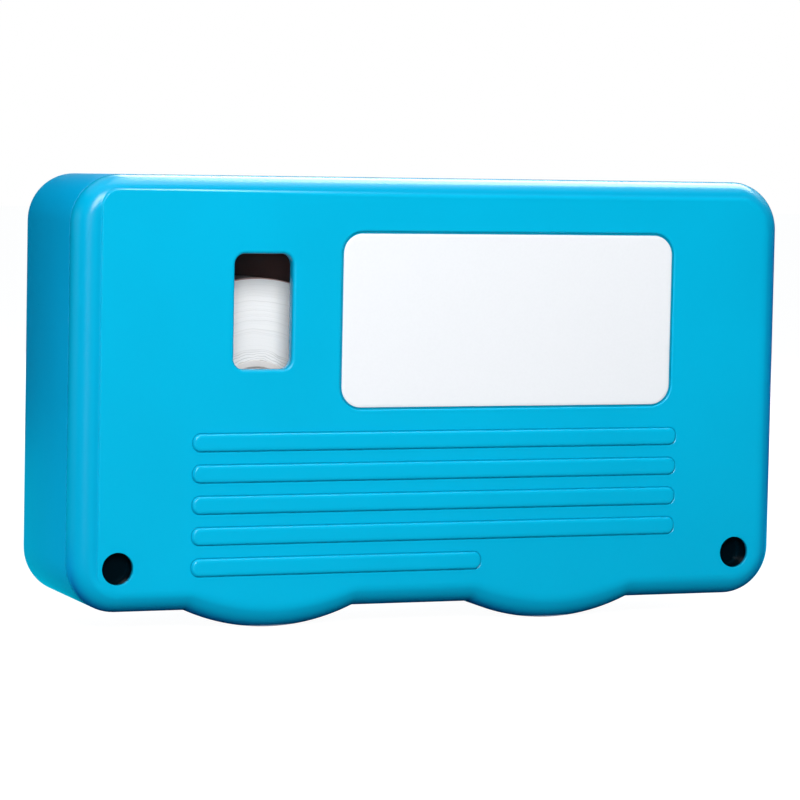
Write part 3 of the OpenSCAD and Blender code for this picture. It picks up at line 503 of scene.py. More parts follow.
@dataclass
class FrontCover:
    """The photographed lid: rounded edge, raised field, ribs, label recess, window and screw recesses.

    A profile is a row of pairs: how far out the outline is moved, and its depth behind the field. Its first
    pairs are narrow flat rings that keep the shading of the field level.
    """

    housing: Housing
    outline: Outline
    # The rim: rings by the seam, start and points of its round edge, and the shares of shoulder and step
    lip: tuple[Pair, ...] = ((0.16, 0.0), (0.04, -0.03), (0.0, -0.12))
    edge_start: float = 4.0
    edge_points: int = 15
    shoulder_shares: tuple[float, ...] = (0.85, 0.93, 1.0)
    step_shares: tuple[float, ...] = (0.12, 0.28, 0.45, 0.62, 0.8, 1.0)
    groove: float = 0.1
    guard: float = 0.05
    # Width of the field's step: at the left, and what is added at the right, the bottom and the top, where
    # the right and the top part grow from a place over a length
    step_width: float = 0.34
    step_right: float = 0.6
    step_low: float = 0.78
    step_top: float = 0.7
    right_growth: Pair = (13.0, 9.0)
    top_growth: Pair = (-56.0, 60.0)
    # Reach of the one wide curve at the bottom and the right, what the bulges add, and how fast the
    # corners blend
    soft_reach: float = 4.1
    bulge_reach: float = 0.6
    bulge_growth: float = 3.0
    corner_rate: float = 1.1
    # Grip ribs
    rib_x: float = -46.3
    rib_length: float = 93.4
    short_rib_length: float = 55.0
    rib_top: float = 31.13
    rib_pitch: float = 5.46
    rib_width: float = 3.13
    rib_corner: float = 1.4
    rib_count: int = 5
    rib_points: Counts = (11, 40)
    rib_edge: tuple[Pair, ...] = (
        (0.3, 0.0), (0.24, 0.0), (0.15, 0.05), (0.06, 0.11), (0.0, 0.1), (-0.04, 0.0), (-0.09, -0.14),
        (-0.16, -0.26), (-0.29, -0.345), (-0.5, -0.39), (-0.8, -0.4), (-0.86, -0.4))
    # Label recess
    label_box: Box = (-18.7, 35.45, 45.5, 66.15)
    label_corner: float = 3.6
    label_gap: float = 0.4
    label_points: Counts = (15, 30)
    label_edge: tuple[Pair, ...] = (
        (0.68, 0.0), (0.62, 0.0), (0.38, -0.03), (0.2, -0.02), (0.07, 0.05), (0.0, 0.16), (0.0, 0.29),
        (-0.04, 0.3), (-0.3, 0.3))
    # Window: its rounded rim, and the last pairs of its wall, whose depths count from the inner face
    window_box: Box = (-39.0, 42.3, -28.2, 62.5)
    window_corner: float = 1.9
    window_points: Counts = (13, 12)
    window_guard: float = 0.72
    window_rim: float = 0.6
    window_rim_points: int = 8
    window_back: tuple[Pair, ...] = ((0.0, -0.2), (0.05, -0.05), (0.2, 0.0))
    # Screw recesses: each leads from its mouth to its screw over a depth, past a neck, which is given by
    # its changes of radius and its depths
    screws: tuple[Pair, ...] = ((-60.1, 8.1), (60.1, 8.1))
    mouths: tuple[Pair, ...] = ((-59.7, 7.9), (59.7, 7.9))
    recess_r: float = 2.83
    recess_depth: float = 13.6
    mouth_guard: float = 0.14
    mouth_rim: float = 0.12
    mouth_points: int = 6
    neck: tuple[Pair, ...] = ((0.0, 6.4), (-0.05, 6.5), (-0.18, 6.5), (-0.2, 6.6))
    floor_share: float = 0.4
    lead: float = 10.0
    recess_points: int = 64
    # Inside: the bevel at the end of the tongue, and the start and points of the round inner edge
    tongue_bevel: float = 0.2
    inner_start: float = 15.0
    inner_points: int = 6

    @staticmethod
    def quarter(inside: Array, reach: Array | float, rise: float) -> Array:
        """Depth left of a rounded edge: a quarter ellipse that levels out at reach."""
        left = np.clip(1.0 - inside / reach, 0.0, 1.0)
        return rise * (1.0 - np.sqrt(1.0 - left * left))

    def step_widths(self, foot: Array, low: Array) -> Array:
        """Width of the field's step: its least width plus parts that follow the column's direction and place.

        Args:
            foot: The foot of the step, shape (columns, 2).
            low: 1 in columns that face down, 0 in those that face up or sideways.

        Returns:
            The width of each column's step.
        """
        way = np.clip(self.outline.way, 0.0, 1.0)
        right = smooth_step((foot[:, 1] - self.right_growth[0]) / self.right_growth[1]) * way[:, 0]
        top = smooth_step((foot[:, 0] - self.top_growth[0]) / self.top_growth[1]) * way[:, 1]
        return self.step_width + self.step_right * right + self.step_low * low + self.step_top * top

    def rim_rings(self) -> list[Array]:
        """Rings from the seam over the rounded edge and up the step to the raised field.

        A ring's depth follows how far in it lies. At the left and the top it is a quarter circle, a shallow
        groove and the field's step. At the bottom and the right it is one wider curve that runs into the
        face. The corners blend both.

        Returns:
            The rings, outermost first, each of shape (columns, 3).
        """
        o, h = self.outline, self.housing
        start = [lift(o.inset(distance), h.seam + step) for distance, step in self.lip]
        base, foot, bottom = o.inset(0.0), o.field_ring(0.0), o.runs["bottom"]
        low = smooth_step(-o.way[:, 1] * self.corner_rate)
        soft = np.maximum(low, smooth_step(o.way[:, 0] * self.corner_rate))
        width = self.step_widths(foot, low)
        reach = self.soft_reach + self.bulge_reach * smooth_step(-base[:, 1] / self.bulge_growth)
        turn = np.radians(np.linspace(self.edge_start, 90.0, self.edge_points))
        shares = np.concatenate([(1.0 - np.cos(turn)) * h.edge / h.field_side, self.shoulder_shares])
        flat: list[tuple[Array, float]] = []
        for t in shares:
            ring = base + (foot - base) * t
            ring[bottom, 1] = o.bottom_height(ring[bottom, 0], h.field_bottom * t)
            flat.append((ring, 0.0))
        flat += [(o.field_ring(width * u), u) for u in self.step_shares]
        body = []
        for i, (ring, up) in enumerate(flat):
            inside = o.depth_in(ring)
            if i < len(shares):
                inside[bottom] = h.field_bottom * shares[i]
            else:
                inside[bottom] = h.field_bottom + width[bottom] * up
            groove = self.groove * smooth_step((inside - h.edge) / (h.field_side - h.edge))
            side = self.quarter(inside, h.edge, h.edge) + h.rise + groove
            side = side * (1.0 - smooth_step(np.array(up)))
            wide = self.quarter(inside, reach, h.edge + h.rise)
            body.append(lift(ring, soft * wide + (1.0 - soft) * side))
        body.append(lift(o.field_ring(width + self.guard), 0.0))
        return start + body

    def ribs(self, skin: Skin) -> list[Array]:
        """Raise the grip ribs: each rib's outline is carried over the edge profile and capped.

        Args:
            skin: The mesh being gathered.

        Returns:
            The point numbers of each rib's foot.
        """
        feet = []
        for i in range(self.rib_count):
            length = self.short_rib_length if i == self.rib_count - 1 else self.rib_length
            top = self.rib_top - i * self.rib_pitch
            box = (self.rib_x, top - self.rib_width, self.rib_x + length, top)
            numbers = skin.carry(Plane.FRONT, box, self.rib_corner, self.rib_edge, self.rib_points, (-1,))
            feet.append(numbers[0])
        return feet

    def label_recess(self, skin: Skin) -> Array:
        """Sink the recess that the label lies in: its outline over a soft lip down to a flat floor.

        Args:
            skin: The mesh being gathered.

        Returns:
            The point numbers of its edge on the field.
        """
        g = self.label_gap
        x0, z0, x1, z1 = self.label_box
        box = (x0 - g, z0 - g, x1 + g, z1 + g)
        r = self.label_corner + g
        return skin.carry(Plane.FRONT, box, r, self.label_edge, self.label_points, (-1,))[0]

    def window(self, skin: Skin) -> tuple[Array, Array]:
        """Cut the window through the wall: a quarter circle for its rim, then straight to the inner face.

        Args:
            skin: The mesh being gathered.

        Returns:
            The point numbers of its edges on the field and inside.
        """
        rim = quarter_circle(self.window_rim, np.linspace(0.0, 90.0, self.window_rim_points))
        profile = [(self.window_guard, 0.0)] + [(out, depth) for depth, out in rim]
        profile += follow(self.housing.cover_wall, self.window_back)
        numbers = skin.carry(Plane.FRONT, self.window_box, self.window_corner, profile, self.window_points)
        return numbers[0], numbers[-1]

    def recess(self, skin: Skin, mouth: Pair, screw: Pair) -> Array:
        """Sink one screw recess: circles from a quarter-round mouth past a neck to a closed floor.

        Args:
            skin: The mesh being gathered.
            mouth: Centre of its mouth.
            screw: Centre of the screw, which the circles reach further in.

        Returns:
            The point numbers of its edge on the field.
        """
        r = self.recess_r
        rim = quarter_circle(self.mouth_rim, np.linspace(0.0, 90.0, self.mouth_points))
        profile = [(r + self.mouth_guard, 0.0)] + [(r + out, depth) for depth, out in rim]
        profile += [(r + change, depth) for change, depth in self.neck]
        profile += [(profile[-1][0], self.recess_depth), (self.floor_share * r, self.recess_depth)]
        angles = np.linspace(0.0, FULL_TURN, self.recess_points + 1)[:-1]
        circle = np.stack([np.cos(angles), np.sin(angles)], axis=1)
        a, b = np.array(mouth), np.array(screw)
        numbers = skin.rings([lift(a + (b - a) * min(y / self.lead, 1.0) + circle * radius, y)
                              for radius, y in profile])
        skin.cap([numbers[-1]], Plane.FRONT)
        return numbers[0]

    def inner_rings(self) -> list[Array]:
        """Rings of the inside: down the tongue, round its end, back up and over a quarter-round inner edge.

        Returns:
            The rings, outermost first, each of shape (columns, 3).
        """
        h, bevel, r = self.housing, self.tongue_bevel, self.housing.inner_edge
        steps = [(h.tongue_start, h.seam), (h.tongue_start, h.tongue_back - bevel),
                 (h.tongue_start + bevel, h.tongue_back), (h.tongue_end, h.tongue_back),
                 (h.tongue_end, h.cover_wall + r)]
        bend = quarter_circle(r, np.linspace(self.inner_start, 90.0, self.inner_points))
        steps += [(h.tongue_end + inwards, h.cover_wall + left) for inwards, left in bend]
        return [lift(self.outline.inset(d), y) for d, y in steps]

    def build(self) -> Object:
        """Make the cover as one closed skin: rim, flat field with its holes, recesses, and the inside.

        Returns:
            The piece.
        """
        skin = Skin()
        outer = skin.rings(self.rim_rings())
        holes = self.ribs(skin)
        holes.append(self.label_recess(skin))
        front_edge, back_edge = self.window(skin)
        holes.append(front_edge)
        holes += [self.recess(skin, mouth, screw) for mouth, screw in zip(self.mouths, self.screws)]
        skin.cap([outer[-1], *holes], Plane.FRONT)
        inner = skin.rings(self.inner_rings())
        skin.join(np.stack([outer[0], inner[0]]))
        skin.cap([inner[-1], back_edge], Plane.FRONT)
        return skin.build("cover_shell", self.housing)


@dataclass
class RearTray:
    """The deep shell behind the seam, with the shutter's track on top and the lever's slot at the right.

    A profile is a row of pairs: how far out the outline is moved, and its step from the face that it follows.
    """

    housing: Housing
    outline: Outline
    lip: tuple[Pair, ...] = ((0.16, 0.0), (0.04, 0.03), (0.004, 0.14))
    back_start: float = 6.0
    back_points: int = 13
    back_guard: float = 0.3
    inner_points: int = 6
    # The shutter's track, its floor, and the holes in it for the aperture and the shutter's leg
    track: Box = (-50.8, 9.45, 2.4, 27.55)
    track_z: float = 75.0
    track_corner: float = 0.35
    track_edge: tuple[Pair, ...] = ((0.25, 0.0), (0.1, -0.02), (0.0, -0.12))
    floor_edge: tuple[Pair, ...] = ((0.0, 0.08), (-0.08, 0.0))
    hole_edge: tuple[Pair, ...] = ((0.2, 0.0), (0.06, -0.05), (0.0, -0.2))
    aperture: Box = (-8.9, 12.4, 1.5, 20.6)
    aperture_corner: float = 1.2
    leg_slot: Box = (-28.6, 24.5, -11.0, 26.8)
    leg_slot_corner: float = 0.25
    # The lever's slot
    lever_slot: Box = (13.45, 22.56, 25.05, 62.16)
    slot_corner: float = 1.0
    slot_edge: tuple[Pair, ...] = ((0.4, 0.0), (0.2, -0.04), (0.06, -0.16), (0.0, -0.36))

    def side_wall(self, skin: Skin, front: Array, back: Array, holes: dict[str, list[Array]]) -> None:
        """Lay the side wall between two rings, with flat caps that have holes on the top and right runs.

        Args:
            skin: The mesh being gathered.
            front: Point numbers of the ring at the front.
            back: Point numbers of the ring at the back.
            holes: Edges of the holes, by run.
        """
        for name, part in self.outline.runs.items():
            if name in holes:
                loop = np.concatenate([front[part], back[part][::-1]])
                skin.cap([loop, *holes[name]], Plane.TOP if name == "top" else Plane.SIDE)
                continue
            beyond = int(name.startswith("turn"))
            columns = np.arange(part.start - beyond, part.stop + beyond) % len(front)
            skin.join(np.stack([front[columns], back[columns]]), closed=False)

    def top_face(self, ring: Array) -> Array:
        """Height of the leaning top face."""
        return self.housing.height - self.housing.taper(ring[:, 1])

    def right_face(self, ring: Array) -> Array:
        """Place of the leaning right face."""
        return self.housing.half_width - self.housing.taper(ring[:, 1])

    def top_holes(self, skin: Skin) -> tuple[Array, list[Array]]:
        """Sink the track from the top face to its flat floor, and two holes from there to the ceiling.

        Args:
            skin: The mesh being gathered.

        Returns:
            The point numbers of the track's edge, and those of each hole's inner edge.
        """
        through = (0.0, -self.housing.wall)
        track = skin.carry(Plane.TOP, self.track, self.track_corner,
                           follow(self.top_face, self.track_edge) + follow(self.track_z, self.floor_edge))
        profile = follow(self.track_z, self.hole_edge) + follow(self.top_face, [through])
        rims = [skin.carry(Plane.TOP, box, r, profile)
                for box, r in ((self.aperture, self.aperture_corner), (self.leg_slot, self.leg_slot_corner))]
        skin.cap([track[-1], *[rim[0] for rim in rims]], Plane.TOP)
        return track[0], [rim[-1] for rim in rims]

    def build(self) -> Object:
        """Make the tray as one closed skin.

        Its walls lean in by the taper, and a quarter circle turns them into the back. The inside follows at
        the wall's thickness, with a smaller quarter circle.

        Returns:
            The piece.
        """
        h, o, r = self.housing, self.outline, self.housing.inner_edge
        skin = Skin()
        rim = skin.rings([lift(o.inset(distance), h.tray_front + step) for distance, step in self.lip])
        angles = np.append(0.0, np.linspace(self.back_start, 90.0, self.back_points))
        bend = quarter_circle(h.back_edge, angles)
        bends = [lift(o.inset(h.lean + inwards), h.depth - left) for inwards, left in bend]
        bends.append(lift(o.inset(h.lean + h.back_edge + self.back_guard), h.depth))
        back = skin.rings(bends)
        skin.cap([back[-1]], Plane.FRONT)
        ceiling_back = h.depth - h.wall
        inner_wall = h.wall + h.taper(ceiling_back - r)
        inner_front = skin.add(lift(o.inset(h.wall), h.tray_front))
        bend = quarter_circle(r, np.linspace(0.0, 90.0, self.inner_points))
        inner = skin.rings([lift(o.inset(inner_wall + inwards), ceiling_back - left)
                            for inwards, left in bend])
        skin.cap([inner[-1]], Plane.FRONT)
        skin.join(np.stack([rim[0], inner_front]))
        track_edge, ceiling_holes = self.top_holes(skin)
        slot = skin.carry(Plane.SIDE, self.lever_slot, self.slot_corner,
                          follow(self.right_face, (*self.slot_edge, (0.0, -h.wall))))
        self.side_wall(skin, rim[-1], back[0], {"top": [track_edge], "right": [slot[0]]})
        self.side_wall(skin, inner_front, inner[0], {"top": ceiling_holes, "right": [slot[-1]]})
        return skin.build("tray_shell", h)


@dataclass
class Shutter:
    """The strip that slides over the aperture, with the leg and the foot that the slide plate carries."""

    housing: Housing
    box: Box = (-38.5, 9.75, 2.1, 27.25)
    corner: float = 0.9
    under: float = 75.05
    gap: float = 0.04
    under_edge: tuple[Pair, ...] = ((-0.12, 0.0), (0.0, 0.09))
    top_edge: tuple[Pair, ...] = ((0.0, -0.16), (-0.04, -0.07), (-0.1, -0.02), (-0.2, 0.0))
    margin: float = 2.2
    hollow_corner: float = 1.6
    hollow_edge: tuple[Pair, ...] = (
        (0.12, 0.0), (0.03, -0.02), (-0.06, -0.06), (-0.16, -0.11), (-0.3, -0.13))
    # The leg's outline from above, from the foot's lower end into the strip
    leg: Box = (-16.3, 24.65, -11.3, 26.65)
    leg_corner: float = 0.3
    leg_bevel: float = 0.15
    leg_in: float = 0.1
    # The foot's outline from the front, from inside the leg to its rounded end
    foot: Box = (-15.8, 65.6, -11.8, 68.4)
    foot_corner: float = 0.4
    foot_in: float = 0.5
    foot_back: float = 30.2
    foot_edge: tuple[Pair, ...] = ((0.0, -0.2), (-0.06, -0.06), (-0.2, 0.0))
    leg_points: Counts = (4, 12)

    def top_face(self, ring: Array) -> Array:
        """A height that follows the housing's leaning top face, a little under it."""
        return self.housing.height - self.housing.taper(ring[:, 1]) - self.gap

    def build(self) -> Object:
        """Carry the strip's outline over a rounded edge into a shallow hollow, and add the leg and the foot.

        Returns:
            The piece.
        """
        skin = Skin()
        strip = skin.carry(Plane.TOP, self.box, self.corner,
                           follow(self.under, self.under_edge) + follow(self.top_face, self.top_edge))
        x0, y0, x1, y1 = self.box
        m = self.margin
        sunk = skin.carry(Plane.TOP, (x0 + m, y0 + m, x1 - m, y1 - m), self.hollow_corner,
                          follow(self.top_face, self.hollow_edge))
        skin.join(np.stack([strip[-1], sunk[0]]))
        skin.cap([sunk[-1]], Plane.TOP)
        skin.cap([strip[0]], Plane.TOP)
        low, bevel = self.foot[1], self.leg_bevel
        leg = [(-bevel, low), (0.0, low + bevel), (0.0, self.under + self.leg_in)]
        skin.carry(Plane.TOP, self.leg, self.leg_corner, leg, self.leg_points, (0, -1))
        foot = [(0.0, self.leg[3] - self.foot_in), *follow(self.foot_back, self.foot_edge)]
        skin.carry(Plane.FRONT, self.foot, self.foot_corner, foot, self.leg_points, (0, -1))
        return skin.build("shutter_strip", self.housing)


@dataclass
class ThumbRidges:
    """Low ridges across the lever's crowned pad, where the thumb pushes it."""

    housing: Housing
    face: float = 74.6
    crown_z: float = 54.56
    crown_r: float = 91.96
    side: Pair = (15.7, 22.8)
    first: float = 45.2
    pitch: float = 2.7
    count: int = 6
    half: float = 0.6
    points: Counts = (6, 12)
    edge: tuple[Pair, ...] = (
        (0.0, -0.08), (0.0, 0.04), (-0.05, 0.14), (-0.14, 0.22), (-0.28, 0.275), (-0.46, 0.3))
    sharp: float = 60.0

    def crown(self, ring: Array) -> Array:
        """Place of the pad's crowned face: a circle of the crown's radius that reaches out to the face."""
        return self.face - self.crown_r + np.sqrt(self.crown_r ** 2 - (ring[:, 2] - self.crown_z) ** 2)

    def build(self) -> Object:
        """Each ridge is a round-ended strip, carried over a low rounded section that stands on the crown.

        Returns:
            The piece.
        """
        skin = Skin()
        profile = follow(self.crown, self.edge)
        for i in range(self.count):
            z = self.first - i * self.pitch
            box = (self.side[0], z - self.half, self.side[1], z + self.half)
            skin.carry(Plane.SIDE, box, self.half, profile, self.points, (0, -1))
        return skin.build("thumb_ridges", self.housing, self.sharp)


@dataclass
class LabelSheet:
    """The bare label: a thin film with a rounded edge."""

    housing: Housing
    cover: FrontCover
    face: float = 0.12
    back: float = 0.3
    inner: float = -0.6
    edge: tuple[Pair, ...] = ((-0.05, 0.0), (-0.015, 0.02), (0.0, 0.06))

    def build(self) -> Object:
        """Carry the label's outline over a thin rounded edge and cap both sides.

        Returns:
            The piece.
        """
        skin = Skin()
        profile = [(self.inner, self.face), *follow(self.face, self.edge)]
        profile += [(0.0, self.back), (self.inner, self.back)]
        c = self.cover
        skin.carry(Plane.FRONT, c.label_box, c.label_corner, profile, c.label_points, (0, -1))
        return skin.build("label_film", self.housing)


@dataclass
class TapePack:
    """Tape wound on a hub: flat ends in fine uneven turns, with a few wavy slack turns by the hub."""

    housing: Housing
    name: str
    x: float
    outer: float
    seed: int
    inner: float = 8.42
    front: float = 11.25
    back: float = 21.75
    turns: int = 64
    around: int = 240
    unevenness: float = 0.05
    end_step: float = 0.06
    # The slack turns: how far out from the inner radius, over what width and how far they wander. Each of
    # their waves has a count round the pack, and a random height and start
    slack_at: float = 0.45
    slack_width: float = 0.35
    slack_reach: float = 0.07
    waves: tuple[int, ...] = (9, 14, 23)
    wave_heights: Pair = (0.4, 1.0)
    wave_starts: Pair = (0.0, 6.28)
    sharp: float = 50.0

    def build(self) -> Object:
        """Each end's height is a fixed random step a turn, and the innermost turns wander in radius.

        The wandering is a bell curve over the radius times a sum of sines of the angle.

        Returns:
            The piece.
        """
        rng = np.random.default_rng(self.seed)
        radii = np.linspace(self.inner, self.outer, self.turns)
        angles = np.linspace(0.0, FULL_TURN, self.around + 1)[:-1]
        step = rng.uniform(0.0, self.unevenness, self.turns)
        step[0] = step[-1] = self.end_step
        slack = np.exp(-((radii - self.inner - self.slack_at) / self.slack_width) ** 2)
        wave = sum(rng.uniform(*self.wave_heights) * np.sin(angles * k + rng.uniform(*self.wave_starts))
                   for k in self.waves)
        grid = radii[:, None] + self.slack_reach * slack[:, None] * wave[None]
        x, z = self.x + grid * np.cos(angles), self.housing.reel_z + grid * np.sin(angles)

        def end(level: float, sign: float) -> Array:
            """One end of the pack: each turn lies at the level plus or minus its own step."""
            y = np.broadcast_to((level + sign * step)[:, None], grid.shape)
            return np.stack([x, y, z], axis=-1)

        skin = Skin()
        front, back = end(self.front, 1.0), end(self.back, -1.0)
        numbers = skin.rings(np.concatenate([front, back[::-1]]))
        skin.join(np.stack([numbers[-1], numbers[0]]))
        return skin.build(self.name, self.housing, self.sharp)


@dataclass
class Strand:
    """The free run of tape: off the supply reel, over both guide pins and down to the take-up reel."""

    housing: Housing
    pins: tuple[Pair, ...] = ((-16.4, 67.2), (9.0, 67.2))
    pin_path: float = 2.4
    reel_paths: Pair = (23.4, 11.0)
    front: float = 11.25
    back: float = 21.75
    thickness: float = 0.16
    # Share of the thickness that is left at the tape's two edges, and the points of each stretch
    edge_share: float = 0.4
    across_points: int = 15
    bend_points: int = 16
    leg_points: int = 24
    level_points: int = 26

    def path(self) -> Array:
        """Points of the run's middle: straight between its tangent points, an arc round each pin.

        A leg touches its reel and its pin on opposite sides. The angle of the touching radius, from the line
        between both centres, has a cosine of the sum of the two radii over the distance of the centres.

        Returns:
            Points of shape (n, 2), from the supply reel to the take-up reel.
        """
        pieces = []
        for way, pin, x, reel in zip((-1.0, 1.0), self.pins, self.housing.reel_xs, self.reel_paths):
            across = np.array([x - pin[0], self.housing.reel_z - pin[1]])
            turned = math.acos((reel + self.pin_path) / float(np.hypot(*across)))
            angle = math.atan2(across[1], across[0]) + way * turned
            touch = np.array([x, self.housing.reel_z]) - reel * np.array([math.cos(angle), math.sin(angle)])
            first = angle % FULL_TURN if way < 0.0 else angle
            arc = np.linspace(first, math.pi / 2.0, self.bend_points)
            bend = np.array(pin) + self.pin_path * np.stack([np.cos(arc), np.sin(arc)], axis=1)
            leg = touch + (bend[0] - touch) * np.linspace(0.0, 1.0, self.leg_points)[:-1, None]
            piece = np.concatenate([leg, bend])
            pieces.append(piece if way < 0.0 else piece[::-1])
        ends = pieces[0][-1], pieces[1][0]
        level = ends[0] + (ends[1] - ends[0]) * np.linspace(0.0, 1.0, self.level_points)[1:-1, None]
        return np.concatenate([pieces[0], level, pieces[1]])

    def build(self) -> tuple[Object, float]:
        """Carry a thin flat section along the path, with its own UV map in metres across and along.

        Each point is the path's point, moved along the path's normal by half the thickness.

        Returns:
            The piece and its length in metres.
        """
        line = self.path()
        ahead = np.gradient(line, axis=0)
        ahead /= np.linalg.norm(ahead, axis=1)[:, None]
        side = np.stack([-ahead[:, 1], ahead[:, 0]], axis=1)
        along = np.concatenate([[0.0], np.cumsum(np.linalg.norm(np.diff(line, axis=0), axis=1))])
        across = np.linspace(self.front, self.back, self.across_points)
        half = np.full(len(across), self.thickness / 2.0)
        half[[0, -1]] *= self.edge_share
        y = np.concatenate([across, across[::-1]])
        off = np.concatenate([half, -half[::-1]])
        spots = line[:, None, :] + side[:, None, :] * off[None, :, None]
        skin = Skin()
        depth = np.broadcast_to(y, spots.shape[:2])
        numbers = skin.rings(np.stack([spots[..., 0], depth, spots[..., 1]], axis=-1))
        skin.faces += [tuple(numbers[0].tolist()), tuple(numbers[-1].tolist())]
        piece = skin.build("tape_run", self.housing)
        mesh = piece.data
        flat = np.stack(np.broadcast_arrays(y[None] - self.front, along[:, None]), axis=-1).reshape(-1, 2)
        corners_at = np.zeros(len(mesh.loops), int)
        mesh.loops.foreach_get("vertex_index", corners_at)
        layer = mesh.uv_layers.new(name="weave")
        layer.data.foreach_set("uv", (flat / MM_PER_METRE)[corners_at].astype(np.float32).ravel())
        return piece, float(along[-1]) / MM_PER_METRE


@dataclass
class BrakeWasher:
    """The felt washer under the supply hub: a soft ring with an uneven, slightly crowned face."""

    housing: Housing
    inner: float = 4.32
    outer: float = 6.38
    front: float = 10.18
    back: float = 10.74
    fill: float = 0.9
    around_points: int = 180
    section_points: int = 32
    # The face's waves: height and count round the ring, each turned by an angle a count
    waves: tuple[tuple[float, int], ...] = ((0.02, 5), (0.015, 11), (0.01, 19))
    wave_turn: float = 1.7
    sharp: float = 80.0

    @staticmethod
    def blunt(wave: Array) -> Array:
        """A wave's signed square root, which makes a circle's section a rounded square."""
        return np.sign(wave) * np.abs(wave) ** 0.5

    def build(self) -> Object:
        """A superellipse section turned round the axis, its height waved by sines of the angle.

        Returns:
            The piece.
        """
        h = self.housing
        around = np.linspace(0.0, FULL_TURN, self.around_points + 1)[:-1, None]
        turn = np.linspace(0.0, FULL_TURN, self.section_points + 1)[None, :-1]
        soft = sum(a * np.sin(around * k + self.wave_turn * k) for a, k in self.waves)
        middle, half = (self.inner + self.outer) / 2.0, (self.outer - self.inner) / 2.0
        radius = middle + half * self.blunt(np.cos(turn)) * (1.0 - np.abs(soft) / half)
        rise = (self.back - self.front) / 2.0 * self.blunt(np.sin(turn)) * (self.fill + soft)
        skin = Skin()
        x = h.reel_xs[0] + radius * np.cos(around)
        depth = (self.front + self.back) / 2.0 + rise
        numbers = skin.add(np.stack([x, depth, h.reel_z + radius * np.sin(around)], axis=-1))
        skin.join(np.concatenate([numbers, numbers[:1]]))
        return skin.build("felt_ring", h, self.sharp)


@dataclass
class BackingPad:
    """The moulded rubber pad that holds the tape against the ferrule: rounded plan, crowned top."""

    housing: Housing
    box: Box = (-10.4, 11.55, 3.0, 21.45)
    corner: float = 1.8
    low: float = 66.7
    high: float = 69.2
    points: Counts = (9, 12)
    low_edge: tuple[Pair, ...] = ((-0.5, 0.0), (-0.2, 0.05), (-0.03, 0.2), (0.0, 0.5))
    high_edge: tuple[Pair, ...] = (
        (0.0, -0.9), (-0.04, -0.6), (-0.16, -0.36), (-0.4, -0.2), (-0.8, -0.1), (-1.3, -0.04), (-1.7, -0.02))
    sharp: float = 60.0

    def build(self) -> Object:
        """Carry the plan's outline up the sides and over the crowned top.

        Returns:
            The piece.
        """
        skin = Skin()
        profile = follow(self.low, self.low_edge) + follow(self.high, self.high_edge)
        skin.carry(Plane.TOP, self.box, self.corner, profile, self.points, (0, -1))
        return skin.build("rubber_pad", self.housing, self.sharp)


class Shade:
    """A shader socket that works out sums as Math nodes."""

    def __init__(self, graph: Graph, value: bpy.types.NodeSocket) -> None:
        """Wrap a socket of one graph."""
        self.graph = graph
        self.value = value

    def _math(self, kind: str, a: Shade | float, b: Shade | float | None = None) -> Shade:
        """Add one Math node with an operation and one value or two."""
        values = {0: a} if b is None else {0: a, 1: b}
        return self.graph.wrap("ShaderNodeMath", {"operation": kind}, values)

    def __add__(self, other: Shade | float) -> Shade:
        """Sum."""
        return self._math("ADD", self, other)

    __radd__ = __add__

    def __sub__(self, other: Shade | float) -> Shade:
        """Difference."""
        return self._math("SUBTRACT", self, other)

    def __rsub__(self, other: float) -> Shade:
        """Difference from a number."""
        return self._math("SUBTRACT", other, self)

    def __mul__(self, other: Shade | float) -> Shade:
        """Product."""
        return self._math("MULTIPLY", self, other)

    __rmul__ = __mul__

    def __pow__(self, other: Shade | float) -> Shade:
        """Power."""
        return self._math("POWER", self, other)

    def __rpow__(self, other: float) -> Shade:
        """Power of a number."""
        return self._math("POWER", other, self)

    def low(self, other: Shade | float) -> Shade:
        """The lower of two."""
        return self._math("MINIMUM", self, other)

    def high(self, other: Shade | float) -> Shade:
        """The higher of two."""
        return self._math("MAXIMUM", self, other)

    def sine(self) -> Shade:
        """Sine of an angle in radians."""
        return self._math("SINE", self)

    def ramp(self, start: float, end: float) -> Shade:
        """0 before start, 1 past end, and the cubic with level ends between."""
        return self.graph.wrap("ShaderNodeMapRange", {"interpolation_type": "SMOOTHSTEP"},
                               {"Value": self, "From Min": start, "From Max": end})


class Spots(Enum):
    """What a pattern is laid out on: the frame's metres, or the piece's own map."""

    FRAME = "Object"
    OWN_MAP = "UV"


